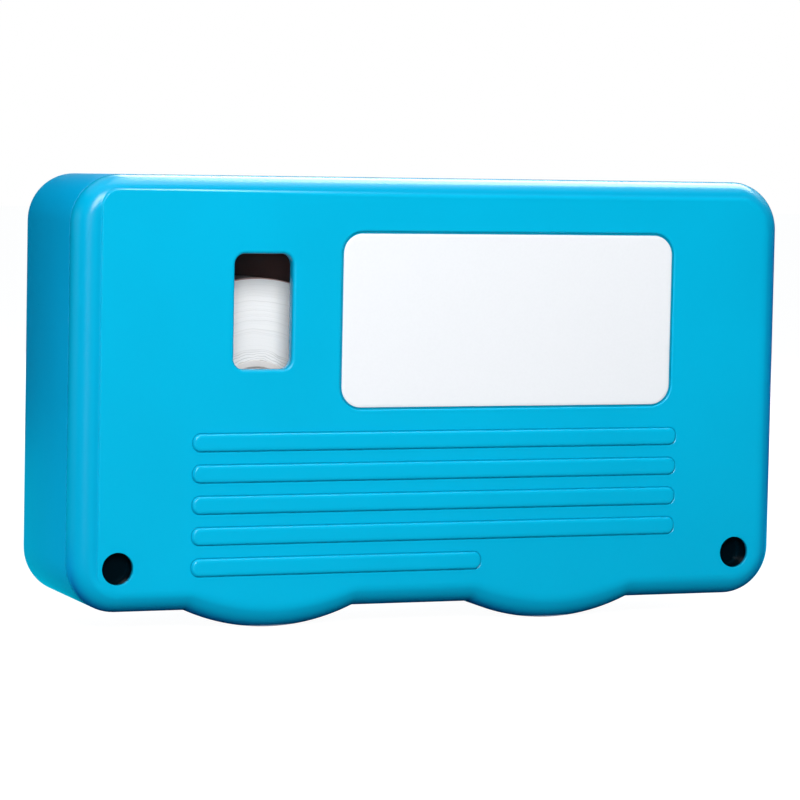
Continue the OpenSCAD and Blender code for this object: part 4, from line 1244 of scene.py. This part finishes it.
class Graph:
    """The nodes of one material or world."""

    def __init__(self, tree: bpy.types.NodeTree) -> None:
        """Start from an empty tree."""
        tree.nodes.clear()
        self.tree = tree

    def node(self, kind: str, settings: dict[str, object] | None = None,
             inputs: dict[str | int, object] | None = None) -> bpy.types.Node:
        """Add a node, set its settings, then the values or links of its sockets.

        Args:
            kind: The node's type name.
            settings: Attributes of the node.
            inputs: Numbers, colours, sockets or Shades by socket name or number.

        Returns:
            The node.
        """
        made = self.tree.nodes.new(kind)
        for key, value in (settings or {}).items():
            setattr(made, key, value)
        for key, value in (inputs or {}).items():
            source = value.value if isinstance(value, Shade) else value
            if isinstance(source, bpy.types.NodeSocket):
                self.tree.links.new(source, made.inputs[key])
            else:
                made.inputs[key].default_value = (*source, 1.0) if isinstance(source, tuple) else source
        return made

    def wrap(self, kind: str, settings: dict[str, object] | None, inputs: dict[str | int, object],
             output: str | int = 0) -> Shade:
        """Add a node, as node does, and wrap the output of a name or number."""
        return Shade(self, self.node(kind, settings, inputs).outputs[output])

    def place(self, spots: Spots = Spots.FRAME) -> tuple[Shade, Shade, Shade]:
        """Coordinates in metres.

        Args:
            spots: What they are counted on.

        Returns:
            The three coordinates.
        """
        spot = self.node("ShaderNodeTexCoord").outputs[spots.value]
        split = self.node("ShaderNodeSeparateXYZ", None, {0: spot})
        return tuple(Shade(self, out) for out in split.outputs)

    def noise(self, scale: float, detail: float) -> Shade:
        """Noise in the frame's space.

        Args:
            scale: Spots a metre.
            detail: Finer layers added to it.

        Returns:
            A value about one half.
        """
        spot = self.node("ShaderNodeTexCoord").outputs[Spots.FRAME.value]
        inputs = {"Vector": spot, "Scale": scale, "Detail": detail}
        return self.wrap("ShaderNodeTexNoise", None, inputs, "Fac")

    def noise_along(self, read: Shade, scale: float, detail: float) -> Shade:
        """Noise read along one number in metres, of so many spots a metre and finer layers."""
        return self.wrap("ShaderNodeTexNoise", {"noise_dimensions": "1D"},
                         {"W": read, "Scale": scale, "Detail": detail}, "Fac")

    def mix(self, factor: Shade | float, a: Shade | Colour, b: Shade | Colour) -> Shade:
        """A colour between two: the first at a factor of 0, the second at 1."""
        return self.wrap("ShaderNodeMix", {"data_type": "RGBA"}, {"Factor": factor, 6: a, 7: b}, 2)

    def bump(self, height: Shade, distance: float, strength: float = 1.0) -> Shade:
        """A normal bent by a height that goes from 0 to 1 over a distance in metres."""
        inputs = {"Height": height, "Distance": distance, "Strength": strength}
        return self.wrap("ShaderNodeBump", None, inputs, "Normal")


def new_material(name: str) -> tuple[bpy.types.Material, Graph]:
    """Start a material.

    Args:
        name: Its name.

    Returns:
        The material, and the graph of its nodes.
    """
    made = bpy.data.materials.new(name)
    made.use_nodes = True
    return made, Graph(made.node_tree)


@dataclass(frozen=True)
class Finish:
    """A finish that makes its own material.

    In each kind of finish a noise is a pair of its spots a metre and its detail, a range holds the two values
    between which a pattern sets in, a share is a part of the colour, and a relief is in metres.
    """

    name: str
    colour: Colour
    rough: float = 0.4

    def dimmed(self, share: float) -> Colour:
        """The finish's colour times a share."""
        return tuple(share * c for c in self.colour)

    def clouded(self, graph: Graph, cloud: Shade, between: Pair, share: float) -> Shade:
        """The colour, which dims to a share of itself as a cloud goes from one value to another."""
        return graph.mix(cloud.ramp(*between), self.colour, self.dimmed(share))

    def shade(self, graph: Graph) -> dict[str, object]:
        """What the Principled shader is given, by socket name: here the plain colour and roughness."""
        return {"Base Color": self.colour, "Roughness": self.rough}

    def material(self) -> bpy.types.Material:
        """Build the material.

        Returns:
            The material.
        """
        made, graph = new_material(self.name)
        shader = graph.node("ShaderNodeBsdfPrincipled", None, self.shade(graph))
        graph.node("ShaderNodeOutputMaterial", None, {"Surface": shader.outputs[0]})
        made.diffuse_color = (*self.colour, 1.0)
        return made


@dataclass(frozen=True)
class GlossyPlastic(Finish):
    """Glossy moulded ABS: faint flow clouding, fine handling marks and a long low swell."""

    cloud: Pair = (28.0, 2.0)
    cloud_range: Pair = (0.3, 0.75)
    cloud_share: float = 0.95
    marks: Pair = (900.0, 3.0)
    mark_rough: float = 0.06
    swell: Pair = (160.0, 2.0)
    swell_relief: float = 0.00002
    refraction: float = 1.5
    specular: float = 0.3

    def tint(self, graph: Graph, colour: Shade) -> Shade:
        """What a kind of this plastic does to the clouded colour: nothing here."""
        return colour

    def shade(self, graph: Graph) -> dict[str, object]:
        """The clouded and tinted colour, with the marks in its roughness and the swell in its normal.

        Args:
            graph: The material's nodes.

        Returns:
            Values and links by socket name.
        """
        cloud = graph.noise(*self.cloud)
        colour = self.tint(graph, self.clouded(graph, cloud, self.cloud_range, self.cloud_share))
        marks = graph.noise(*self.marks)
        return {"Base Color": colour, "Roughness": self.rough + self.mark_rough * marks,
                "Normal": graph.bump(graph.noise(*self.swell), self.swell_relief), "IOR": self.refraction,
                "Specular IOR Level": self.specular}


@dataclass(frozen=True)
class CoverPlastic(GlossyPlastic):
    """The cover's plastic, with painted shade on rim and edges, round ribs and label, and in the recesses.

    Each zone is painted shade. It has depths, widths and heights in the frame's metres, between which it sets
    in. Its shares are the parts of the colour's green and blue that are left in it.
    """

    # Painted shade over the rim: the depths where it sets in, and its shares of green and blue
    rim_depths: Pair = (-0.01625, -0.01598)
    rim_shade_shares: Pair = (0.83, 0.87)
    # Painted shade in the creases round ribs and label: the box that holds each and the depth where it starts
    lines: tuple[tuple[Box, float], ...] = (
        ((-0.0515, 0.0088, 0.0465, 0.0365), -0.01628), ((-0.0235, 0.0372, 0.0435, 0.0715), -0.01616))
    line_border: float = 0.0003
    line_depth: float = 0.0001
    crease_shade_share: float = 0.6
    # Painted shade along the right edge
    right_depths: Pair = (-0.0165, -0.0145)
    right_widths: Pair = (0.055, 0.064)
    right_heights: Pair = (0.066, 0.076)
    right_strength: float = 0.6
    right_shade_shares: Pair = (0.3, 0.9)
    # Painted shade along the bottom edge
    low_depths: Pair = (-0.0158, -0.0132)
    low_heights: Pair = (0.003, 0.02)
    low_shade_shares: Pair = (0.38, 0.82)
    # Painted shade in the screw recesses: their middles, and the radii and depths over which it darkens them
    recess_xs: Pair = (-0.063, 0.0564)
    recess_z: float = 0.0113
    recess_radii: Pair = (0.0033, 0.0034)
    recess_depths: Pair = (-0.0162, -0.0152)
    recess_shade_colour: Colour = (0.0, 0.004, 0.007)

    def painted_shade_colour(self, shares: Pair) -> Colour:
        """The painted shade's colour: a share of the colour's green and a share of its blue, and no red."""
        _, green, blue = self.colour
        return 0.0, shares[0] * green, shares[1] * blue

    def tint(self, graph: Graph, colour: Shade) -> Shade:
        """Lay painted shade over the colour: rim, creases, right and bottom edges, and recesses.

        Args:
            graph: The material's nodes.
            colour: The clouded colour.

        Returns:
            The colour with its painted shade.
        """
        x, y, z = graph.place()
        # Painted shade over the rim
        colour = graph.mix(y.ramp(*self.rim_depths), colour, self.painted_shade_colour(self.rim_shade_shares))
        border = self.line_border
        # Painted shade in the creases round the ribs and the label
        for (x0, z0, x1, z1), start in self.lines:
            around = (x.ramp(x0, x0 + border) * x.ramp(x1, x1 - border)
                      * z.ramp(z0, z0 + border) * z.ramp(z1, z1 - border))
            line = y.ramp(start, start + self.line_depth) * around
            colour = graph.mix(line, colour, self.dimmed(self.crease_shade_share))
        # Painted shade along the right edge
        right = (self.right_strength * y.ramp(*self.right_depths) * x.ramp(*self.right_widths)
                 * (1.0 - z.ramp(*self.right_heights)))
        colour = graph.mix(right, colour, self.painted_shade_colour(self.right_shade_shares))
        # Painted shade along the bottom edge
        low = y.ramp(*self.low_depths) * (1.0 - z.ramp(*self.low_heights))
        colour = graph.mix(low, colour, self.painted_shade_colour(self.low_shade_shares))
        # Painted shade deep in the screw recesses
        up = z - self.recess_z
        one, other = [((x - cx) * (x - cx) + up * up) ** 0.5 for cx in self.recess_xs]
        near = 1.0 - one.low(other).ramp(*self.recess_radii)
        return graph.mix(near * y.ramp(*self.recess_depths), colour, self.recess_shade_colour)


@dataclass(frozen=True)
class SatinPlastic(Finish):
    """Moulded plastic with a fine spark-eroded grain."""

    grain: Pair = (2600.0, 4.0)
    grain_relief: float = 0.00003
    grain_rough: float = 0.1
    cloud: Pair = (60.0, 3.0)
    cloud_range: Pair = (0.35, 0.7)
    cloud_share: float = 0.82
    specular: float = 0.4

    def shade(self, graph: Graph) -> dict[str, object]:
        """Fine grain in the normal and the roughness, and a slight unevenness of colour.

        Args:
            graph: The material's nodes.

        Returns:
            Values and links by socket name.
        """
        grain = graph.noise(*self.grain)
        colour = self.clouded(graph, graph.noise(*self.cloud), self.cloud_range, self.cloud_share)
        return {"Base Color": colour, "Roughness": self.rough + self.grain_rough * grain,
                "Normal": graph.bump(grain, self.grain_relief), "Specular IOR Level": self.specular}


@dataclass(frozen=True)
class LabelFilm(Finish):
    """Satin label film, bare, with a faint fibre clouding."""

    fibre: Pair = (2400.0, 3.0)
    fibre_range: Pair = (0.35, 0.7)
    fibre_share: float = 0.985
    fibre_relief: float = 0.000008
    specular: float = 0.25

    def shade(self, graph: Graph) -> dict[str, object]:
        """One noise for the colour and the normal.

        Args:
            graph: The material's nodes.

        Returns:
            Values and links by socket name.
        """
        cloud = graph.noise(*self.fibre)
        colour = self.clouded(graph, cloud, self.fibre_range, self.fibre_share)
        return {"Base Color": colour, "Roughness": self.rough, "Normal": graph.bump(cloud, self.fibre_relief),
                "Specular IOR Level": self.specular}


@dataclass(frozen=True)
class WoundTape(Finish):
    """The ends of fine tape turns round an axis, with grey slack turns near the hub and a darker outer turn.

    Places and radii are in the frame's metres.
    """

    axis_x: float = 0.0
    axis_z: float = 0.0382
    hub: float = 0.0084
    rim: float = 0.023
    # The slack turns: where they fade, past the hub, and how far the rings wander there and elsewhere
    slack_range: Pair = (0.0008, 0.0022)
    wander: Pair = (190.0, 3.0)
    wander_width: float = 0.0009
    slack_wander: float = 0.0016
    # The turns' dark lines, the wider folds of the slack turns, and how strongly they show
    turns: Pair = (5200.0, 2.0)
    turn_range: Pair = (0.52, 0.78)
    folds: Pair = (1900.0, 1.0)
    fold_range: Pair = (0.56, 0.66)
    line_strength: float = 0.14
    slack_strength: float = 0.8
    line_colour: Colour = (0.26, 0.27, 0.26)
    line_relief: float = 0.00005
    relief_strength: float = 0.6
    # The outer turn: how far in from the rim it sets in
    skin_range: Pair = (0.00022, 0.00012)
    skin_strength: float = 0.85
    skin_colour: Colour = (0.42, 0.2, 0.18)
    sheen: float = 0.15
    specular: float = 0.2

    def shade(self, graph: Graph) -> dict[str, object]:
        """Noise read along the radius, which a second noise moves in and out, more near the hub.

        Args:
            graph: The material's nodes.

        Returns:
            Values and links by socket name.
        """
        x, _, z = graph.place()
        dx, dz = x - self.axis_x, z - self.axis_z
        radius = (dx * dx + dz * dz) ** 0.5
        wave = graph.noise(*self.wander)
        slack = 1.0 - radius.ramp(self.hub + self.slack_range[0], self.hub + self.slack_range[1])
        read = radius + (wave - 0.5) * (self.wander_width + self.slack_wander * slack)
        turns = graph.noise_along(read, *self.turns)
        folds = graph.noise_along(read, *self.folds).ramp(*self.fold_range) * slack
        lines = turns.ramp(*self.turn_range).high(folds)
        strength = self.line_strength + self.slack_strength * slack
        grey = graph.mix(lines * strength, self.colour, self.line_colour)
        skin = radius.ramp(self.rim - self.skin_range[0], self.rim - self.skin_range[1])
        colour = graph.mix(skin * self.skin_strength, grey, self.skin_colour)
        return {"Base Color": colour, "Roughness": self.rough,
                "Normal": graph.bump(lines, self.line_relief, self.relief_strength),
                "Sheen Weight": self.sheen, "Specular IOR Level": self.specular}


@dataclass(frozen=True)
class WovenTape(Finish):
    """A flat run of lint-free tape: a fine plain weave."""

    # Radians a metre, which is a full wave every 0.3 mm
    thread_wave: float = 20944.0
    thread_share: float = 0.88
    thread_relief: float = 0.00003

    def shade(self, graph: Graph) -> dict[str, object]:
        """Two crossed waves on the tape's own map, multiplied, make the weave.

        Args:
            graph: The material's nodes.

        Returns:
            Values and links by socket name.
        """
        across, along, _ = graph.place(Spots.OWN_MAP)
        weave = 0.5 + 0.5 * ((across * self.thread_wave).sine() * (along * self.thread_wave).sine())
        colour = graph.mix(weave, self.dimmed(self.thread_share), self.colour)
        return {"Base Color": colour, "Roughness": self.rough,
                "Normal": graph.bump(weave, self.thread_relief)}


@dataclass(frozen=True)
class DrawnSteel(Finish):
    """Ground or drawn steel with fine scratches."""

    scratches: Pair = (1800.0, 4.0)
    scratch_rough: float = 0.15
    scratch_relief: float = 0.00001

    def shade(self, graph: Graph) -> dict[str, object]:
        """Metal whose roughness and normal follow the scratches.

        Args:
            graph: The material's nodes.

        Returns:
            Values and links by socket name.
        """
        marks = graph.noise(*self.scratches)
        return {"Base Color": self.colour, "Metallic": 1.0,
                "Roughness": self.rough + self.scratch_rough * marks,
                "Normal": graph.bump(marks, self.scratch_relief)}


class Finishes:
    """All finishes of the cassette, each made once."""

    def __init__(self) -> None:
        """Make the materials."""
        self.cover = CoverPlastic("cover_plastic", (0.0, 0.478, 0.76), 0.21).material()
        self.tray = GlossyPlastic("tray_plastic", (0.0, 0.425, 0.78), 0.26).material()
        self.label = LabelFilm("label_film", (0.92, 0.925, 0.945), 0.42).material()
        self.dark = SatinPlastic("dark_plastic", (0.17, 0.092, 0.085), 0.45).material()
        self.shutter = SatinPlastic("shutter_plastic", (0.02, 0.028, 0.034), 0.38).material()
        self.acetal = SatinPlastic("natural_acetal", (0.72, 0.71, 0.66), 0.42).material()
        self.hub = SatinPlastic("hub_plastic", (0.9, 0.86, 0.84), 0.5).material()
        self.supply = WoundTape("supply_tape", (0.97, 0.96, 0.955), 0.75, axis_x=-0.034).material()
        self.takeup = WoundTape("takeup_tape", (0.84, 0.845, 0.85), 0.75, axis_x=0.02, rim=0.0106).material()
        self.strand = WovenTape("woven_tape", (0.9, 0.9, 0.9), 0.8).material()
        self.felt = SatinPlastic("felt", (0.2, 0.2, 0.18), 0.9, (1600.0, 4.0), 0.00012).material()
        self.rubber = SatinPlastic("pad_rubber", (0.02, 0.02, 0.021), 0.6).material()
        self.bright = DrawnSteel("bright_steel", (0.72, 0.73, 0.74), 0.16).material()
        self.black = DrawnSteel("black_steel", (0.09, 0.095, 0.1), 0.35).material()
        self.spring = DrawnSteel("spring_steel", (0.55, 0.56, 0.58), 0.24).material()


@dataclass(frozen=True)
class SoftBox:
    """A rectangular studio lamp aimed at a point."""

    name: str
    spot: Spot
    aim: Spot
    size: Pair
    watts: float
    mirrored: bool = True

    def hang(self) -> None:
        """Put the lamp in the scene, seen by gloss only where it is mirrored."""
        lamp = bpy.data.lights.new(self.name, "AREA")
        lamp.shape = "RECTANGLE"
        lamp.size, lamp.size_y = self.size
        lamp.energy = self.watts
        holder = put(self.name, lamp)
        holder.location = self.spot
        holder.rotation_euler = (Vector(self.aim) - Vector(self.spot)).to_track_quat("-Z", "Y").to_euler()
        holder.visible_glossy = self.mirrored


@dataclass(frozen=True)
class Card:
    """A studio card that only reflections see: black, blue on the floor, or bright overhead."""

    name: str
    corners: tuple[Spot, ...]
    faces: tuple[tuple[int, ...], ...] = ((0, 1, 2, 3),)
    strength: float = 0.0
    colour: Colour = WHITE

    @staticmethod
    def level(name: str, floor: Box, height: float = 0.0004, strength: float = 0.0,
              colour: Colour = WHITE) -> Card:
        """A flat rectangular card that lies level.

        Args:
            name: The card's name.
            floor: Its least x and y and its greatest x and y.
            height: Its height over the floor.
            strength: How strongly it glows.
            colour: The glow's colour.

        Returns:
            The card.
        """
        x0, y0, x1, y1 = floor
        corners = ((x0, y0, height), (x1, y0, height), (x1, y1, height), (x0, y1, height))
        return Card(name, corners, strength=strength, colour=colour)

    @staticmethod
    def screen(name: str, middle: Pair, radius: float, height: float, parts: int) -> Card:
        """An upright flag all round the object.

        Args:
            name: The card's name.
            middle: The centre of its circle, in x and y.
            radius: The circle's radius.
            height: Its height.
            parts: Flat parts round the circle.

        Returns:
            The card.
        """
        turn = np.linspace(0.0, FULL_TURN, parts + 1)
        foot = [(middle[0] + radius * math.cos(a), middle[1] + radius * math.sin(a), 0.0) for a in turn]
        top = [(x, y, height) for x, y, _ in foot]
        n = parts + 1
        faces = tuple((i, i + 1, n + i + 1, n + i) for i in range(parts))
        return Card(name, tuple(foot + top), faces)

    def stand(self) -> None:
        """Put the card in the scene, outside every other kind of ray."""
        mesh = bpy.data.meshes.new(self.name)
        mesh.from_pydata(list(self.corners), [], list(self.faces))
        card = put(self.name, mesh)
        made, graph = new_material(self.name)
        glow = graph.node("ShaderNodeEmission", None, {"Color": self.colour, "Strength": self.strength})
        graph.node("ShaderNodeOutputMaterial", None, {"Surface": glow.outputs[0]})
        mesh.materials.append(made)
        card.visible_camera = card.visible_diffuse = card.visible_shadow = card.visible_transmission = False
        card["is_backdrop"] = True


@dataclass(frozen=True)
class Viewpoint:
    """The photograph's camera, fitted to its edges: angles in radians, focal length in its pixels."""

    yaw: float = 0.3932
    pitch: float = 0.0726
    roll: float = 0.0196
    focal: float = 3799.27
    picture: float = 800.0
    sensor: float = 36.0
    spot: Spot = (-0.26832, -0.63687, 0.08897)
    clip: Pair = (0.02, 20.0)

    def stand(self) -> None:
        """Put the camera in the scene, looking along yaw and pitch and turned by the roll about that line."""
        level = math.cos(self.pitch)
        ahead = Vector((math.sin(self.yaw) * level, math.cos(self.yaw) * level, -math.sin(self.pitch)))
        right = Vector((math.cos(self.yaw), -math.sin(self.yaw), 0.0))
        up = right.cross(ahead)
        across = math.cos(self.roll) * right + math.sin(self.roll) * up
        upright = -math.sin(self.roll) * right + math.cos(self.roll) * up
        lens = bpy.data.cameras.new("camera")
        lens.sensor_width = self.sensor
        lens.lens = self.sensor * self.focal / self.picture
        lens.clip_start, lens.clip_end = self.clip
        holder = put("camera", lens)
        turn = Matrix((across, upright, -ahead)).transposed().to_4x4()
        holder.matrix_world = Matrix.Translation(self.spot) @ turn
        bpy.context.scene.camera = holder


@dataclass
class Studio:
    """Floor, white surroundings, lamps, cards and the photograph's camera."""

    floor_size: float = 3.0
    floor_level: float = -0.00002
    floor_colour: Colour = (0.16, 0.16, 0.16)
    floor_glow: float = 0.97
    ambient: float = 0.16
    ambient_colour: Colour = (0.55, 0.8, 1.0)
    lamps: tuple[SoftBox, ...] = (
        SoftBox("key", (-0.16, -0.47, 0.31), (0.0, 0.0, 0.05), (0.2, 0.2), 2.4),
        SoftBox("front", (-0.34, -0.68, 0.14), (0.0, 0.0, 0.04), (0.3, 0.3), 1.25, mirrored=False),
        SoftBox("left", (-0.62, 0.02, 0.14), (0.0, 0.0, 0.03), (0.35, 0.3), 0.7, mirrored=False),
        SoftBox("top", (0.1, -0.05, 0.6), (0.0, 0.0, 0.08), (0.4, 0.3), 1.2),
        SoftBox("back", (0.16, 0.62, 0.3), (0.0, 0.0, 0.04), (0.4, 0.4), 3.6, mirrored=False),
        SoftBox("right", (0.62, 0.3, 0.18), (0.0, 0.0, 0.04), (0.35, 0.35), 2.2, mirrored=False),
    )
    cards: tuple[Card, ...] = (
        Card.screen("flag_round", (0.0, 0.05), 0.66, 0.75, 40),
        Card.level("flag_front", (-0.64, -0.75, 0.7, -0.002)),
        Card.level("flag_right", (0.2, -0.002, 0.66, 0.36)),
        Card.level("flag_back", (-0.64, 0.36, 0.4, 0.66)),
        Card.level("blue_left", (-0.64, -0.002, 0.2, 0.36), strength=1.3, colour=(0.0, 0.78, 1.0)),
        Card.level("bright_top", (0.13, -0.03, 1.1, 1.1), 0.6, strength=12.0),
    )
    viewpoint: Viewpoint = Viewpoint()

    @staticmethod
    def seen_white(graph: Graph) -> Shade:
        """A mask of the rays from the camera, gloss and clear parts, which all see the background white.

        Args:
            graph: The nodes of the floor or the world.

        Returns:
            1 for those rays, 0 for the others.
        """
        path = graph.node("ShaderNodeLightPath")
        names = ("Is Camera Ray", "Is Glossy Ray", "Is Transmission Ray")
        camera, gloss, clear = [Shade(graph, path.outputs[name]) for name in names]
        return camera.high(gloss).high(clear)

    def surroundings(self) -> None:
        """Light the world dimly and show it white."""
        world = bpy.data.worlds.new("studio")
        bpy.context.scene.world = world
        world.use_nodes = True
        graph = Graph(world.node_tree)
        white = self.seen_white(graph)
        strength = self.ambient + (1.0 - self.ambient) * white
        tint = graph.mix(white, self.ambient_colour, WHITE)
        made = graph.node("ShaderNodeBackground", None, {"Color": tint, "Strength": strength})
        graph.node("ShaderNodeOutputWorld", None, {"Surface": made.outputs[0]})

    def floor(self) -> None:
        """Lay the pale floor, which shows white and keeps a soft shadow."""
        s, level = self.floor_size, self.floor_level
        mesh = bpy.data.meshes.new("floor")
        mesh.from_pydata([(-s, -s, level), (s, -s, level), (s, s, level), (-s, s, level)], [], [(0, 1, 2, 3)])
        plane = put("floor", mesh)
        made, graph = new_material("floor")
        white = self.seen_white(graph)
        matt = graph.node("ShaderNodeBsdfDiffuse", None, {"Color": self.floor_colour})
        strength = self.floor_glow * white
        glow = graph.node("ShaderNodeEmission", None, {"Color": WHITE, "Strength": strength})
        both = graph.node("ShaderNodeAddShader", None, {0: matt.outputs[0], 1: glow.outputs[0]})
        graph.node("ShaderNodeOutputMaterial", None, {"Surface": both.outputs[0]})
        mesh.materials.append(made)
        plane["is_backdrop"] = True

    def set_up(self) -> None:
        """Put everything of the studio in the scene."""
        bpy.context.scene.view_settings.view_transform = "Standard"
        self.surroundings()
        self.floor()
        for lamp in self.lamps:
            lamp.hang()
        for card in self.cards:
            card.stand()
        self.viewpoint.stand()


@dataclass
class Cassette:
    """The whole object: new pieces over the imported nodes, and a finish on every node."""

    housing: Housing
    finishes: Finishes
    nodes: dict[str, Object]
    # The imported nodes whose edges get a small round, each with its width in metres
    bevels: tuple[tuple[str, float], ...] = (
        ("lever", 0.0004), ("ferrule_guide", 0.0002), ("supply_hub", 0.0002), ("takeup_hub", 0.0002))
    bevel_segments: int = 3
    bevel_angle: float = 40.0
    weld: float = 1e-6

    def dress(self, piece: Object, material: bpy.types.Material, slot: str, body: str,
              *stands_for: str) -> None:
        """Give a piece its finish and body, hide the nodes that it stands for, and report it.

        Args:
            piece: The new piece.
            material: Its material.
            slot: The record's material slot; not used.
            body: The body that it rides on.
            *stands_for: The CAD nodes that it replaces.
        """
        piece.data.materials.append(material)
        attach(piece, body)
        if stands_for:
            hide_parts(*stands_for)
        log.info("%s: %d faces on %s", piece.name, len(piece.data.polygons), body)

    def shells(self) -> None:
        """Build the two shells, the label, the shutter and the lever's ridges."""
        h, f = self.housing, self.finishes
        outline = Outline(h)
        cover = FrontCover(h, outline)
        self.dress(cover.build(), f.cover, "cover_plastic", "root", "front_cover")
        self.dress(RearTray(h, outline).build(), f.tray, "tray_plastic", "root", "rear_tray")
        self.dress(LabelSheet(h, cover).build(), f.label, "label_film", "root", "label")
        self.dress(Shutter(h).build(), f.shutter, "dark_plastic", "slide", "shutter")
        self.dress(ThumbRidges(h).build(), f.tray, "tray_plastic", "lever")

    def tapes(self) -> None:
        """Build the two windings and the run of tape between them."""
        h, f = self.housing, self.finishes
        supply = TapePack(h, "supply_wound", h.reel_xs[0], 23.0, seed=7).build()
        self.dress(supply, f.supply, "cleaning_tape", "supply", "supply_tape")
        takeup = TapePack(h, "takeup_wound", h.reel_xs[1], 10.6, seed=11, turns=14).build()
        self.dress(takeup, f.takeup, "cleaning_tape", "takeup", "takeup_tape")
        run = Strand(h)
        strand, length = run.build()
        self.dress(strand, f.strand, "cleaning_tape", "root", "tape_strand")
        (run.back - run.front) / 1000.0

    def soft_parts(self) -> None:
        """Build the felt washer and the rubber pad."""
        washer = BrakeWasher(self.housing).build()
        self.dress(washer, self.finishes.felt, "felt", "root", "brake_washer")
        pad = BackingPad(self.housing).build()
        self.dress(pad, self.finishes.rubber, "pad_rubber", "root", "backing_pad")

    def finish_nodes(self) -> None:
        """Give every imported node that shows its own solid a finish."""
        f = self.finishes
        plan = {
            f.tray: ["lever"], f.dark: ["cartridge_base", "drive_pawl", "ferrule_guide"],
            f.acetal: ["slide_plate", "drive_pinion", "ratchet_spindle"], f.hub: ["supply_hub", "takeup_hub"],
            f.bright: ["lever_pin", "guide_pins"], f.black: ["cover_screws", "spindle_clip"],
            f.spring: ["lever_spring", "pawl_spring", "backstop_leaf", "pad_spring"]}
        for material, names in plan.items():
            for name in names:
                mesh = self.nodes[name].data
                mesh.materials.clear()
                mesh.materials.append(material)
                log.info("%s: %s", name, material.name)

    def round_edges(self) -> None:
        """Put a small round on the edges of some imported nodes, whose loose triangles are welded first."""
        for name, width in self.bevels:
            weld = self.nodes[name].modifiers.new("weld", "WELD")
            weld.merge_threshold = self.weld
            bevel = self.nodes[name].modifiers.new("bevel", "BEVEL")
            bevel.width, bevel.segments, bevel.limit_method = width, self.bevel_segments, "ANGLE"
            bevel.angle_limit = math.radians(self.bevel_angle)

    def build(self) -> None:
        """Build and dress everything."""
        self.shells()
        self.tapes()
        self.soft_parts()
        self.finish_nodes()
        self.round_edges()


def corners(box: tuple[Vector, Vector]) -> list[list[float]]:
    """A box's two corners as plain lists."""
    return [list(box[0]), list(box[1])]


def main() -> None:
    """Load the frame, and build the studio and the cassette."""
    logging.basicConfig(level=logging.INFO, format="%(name)s: %(message)s")
    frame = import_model()
    packed = corners(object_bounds())
    Studio().set_up()
    Cassette(Housing(), Finishes(), frame["nodes"]).build()
    {"cad": packed, "visual": corners(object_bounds())}


if __name__ == "__main__":
    main()
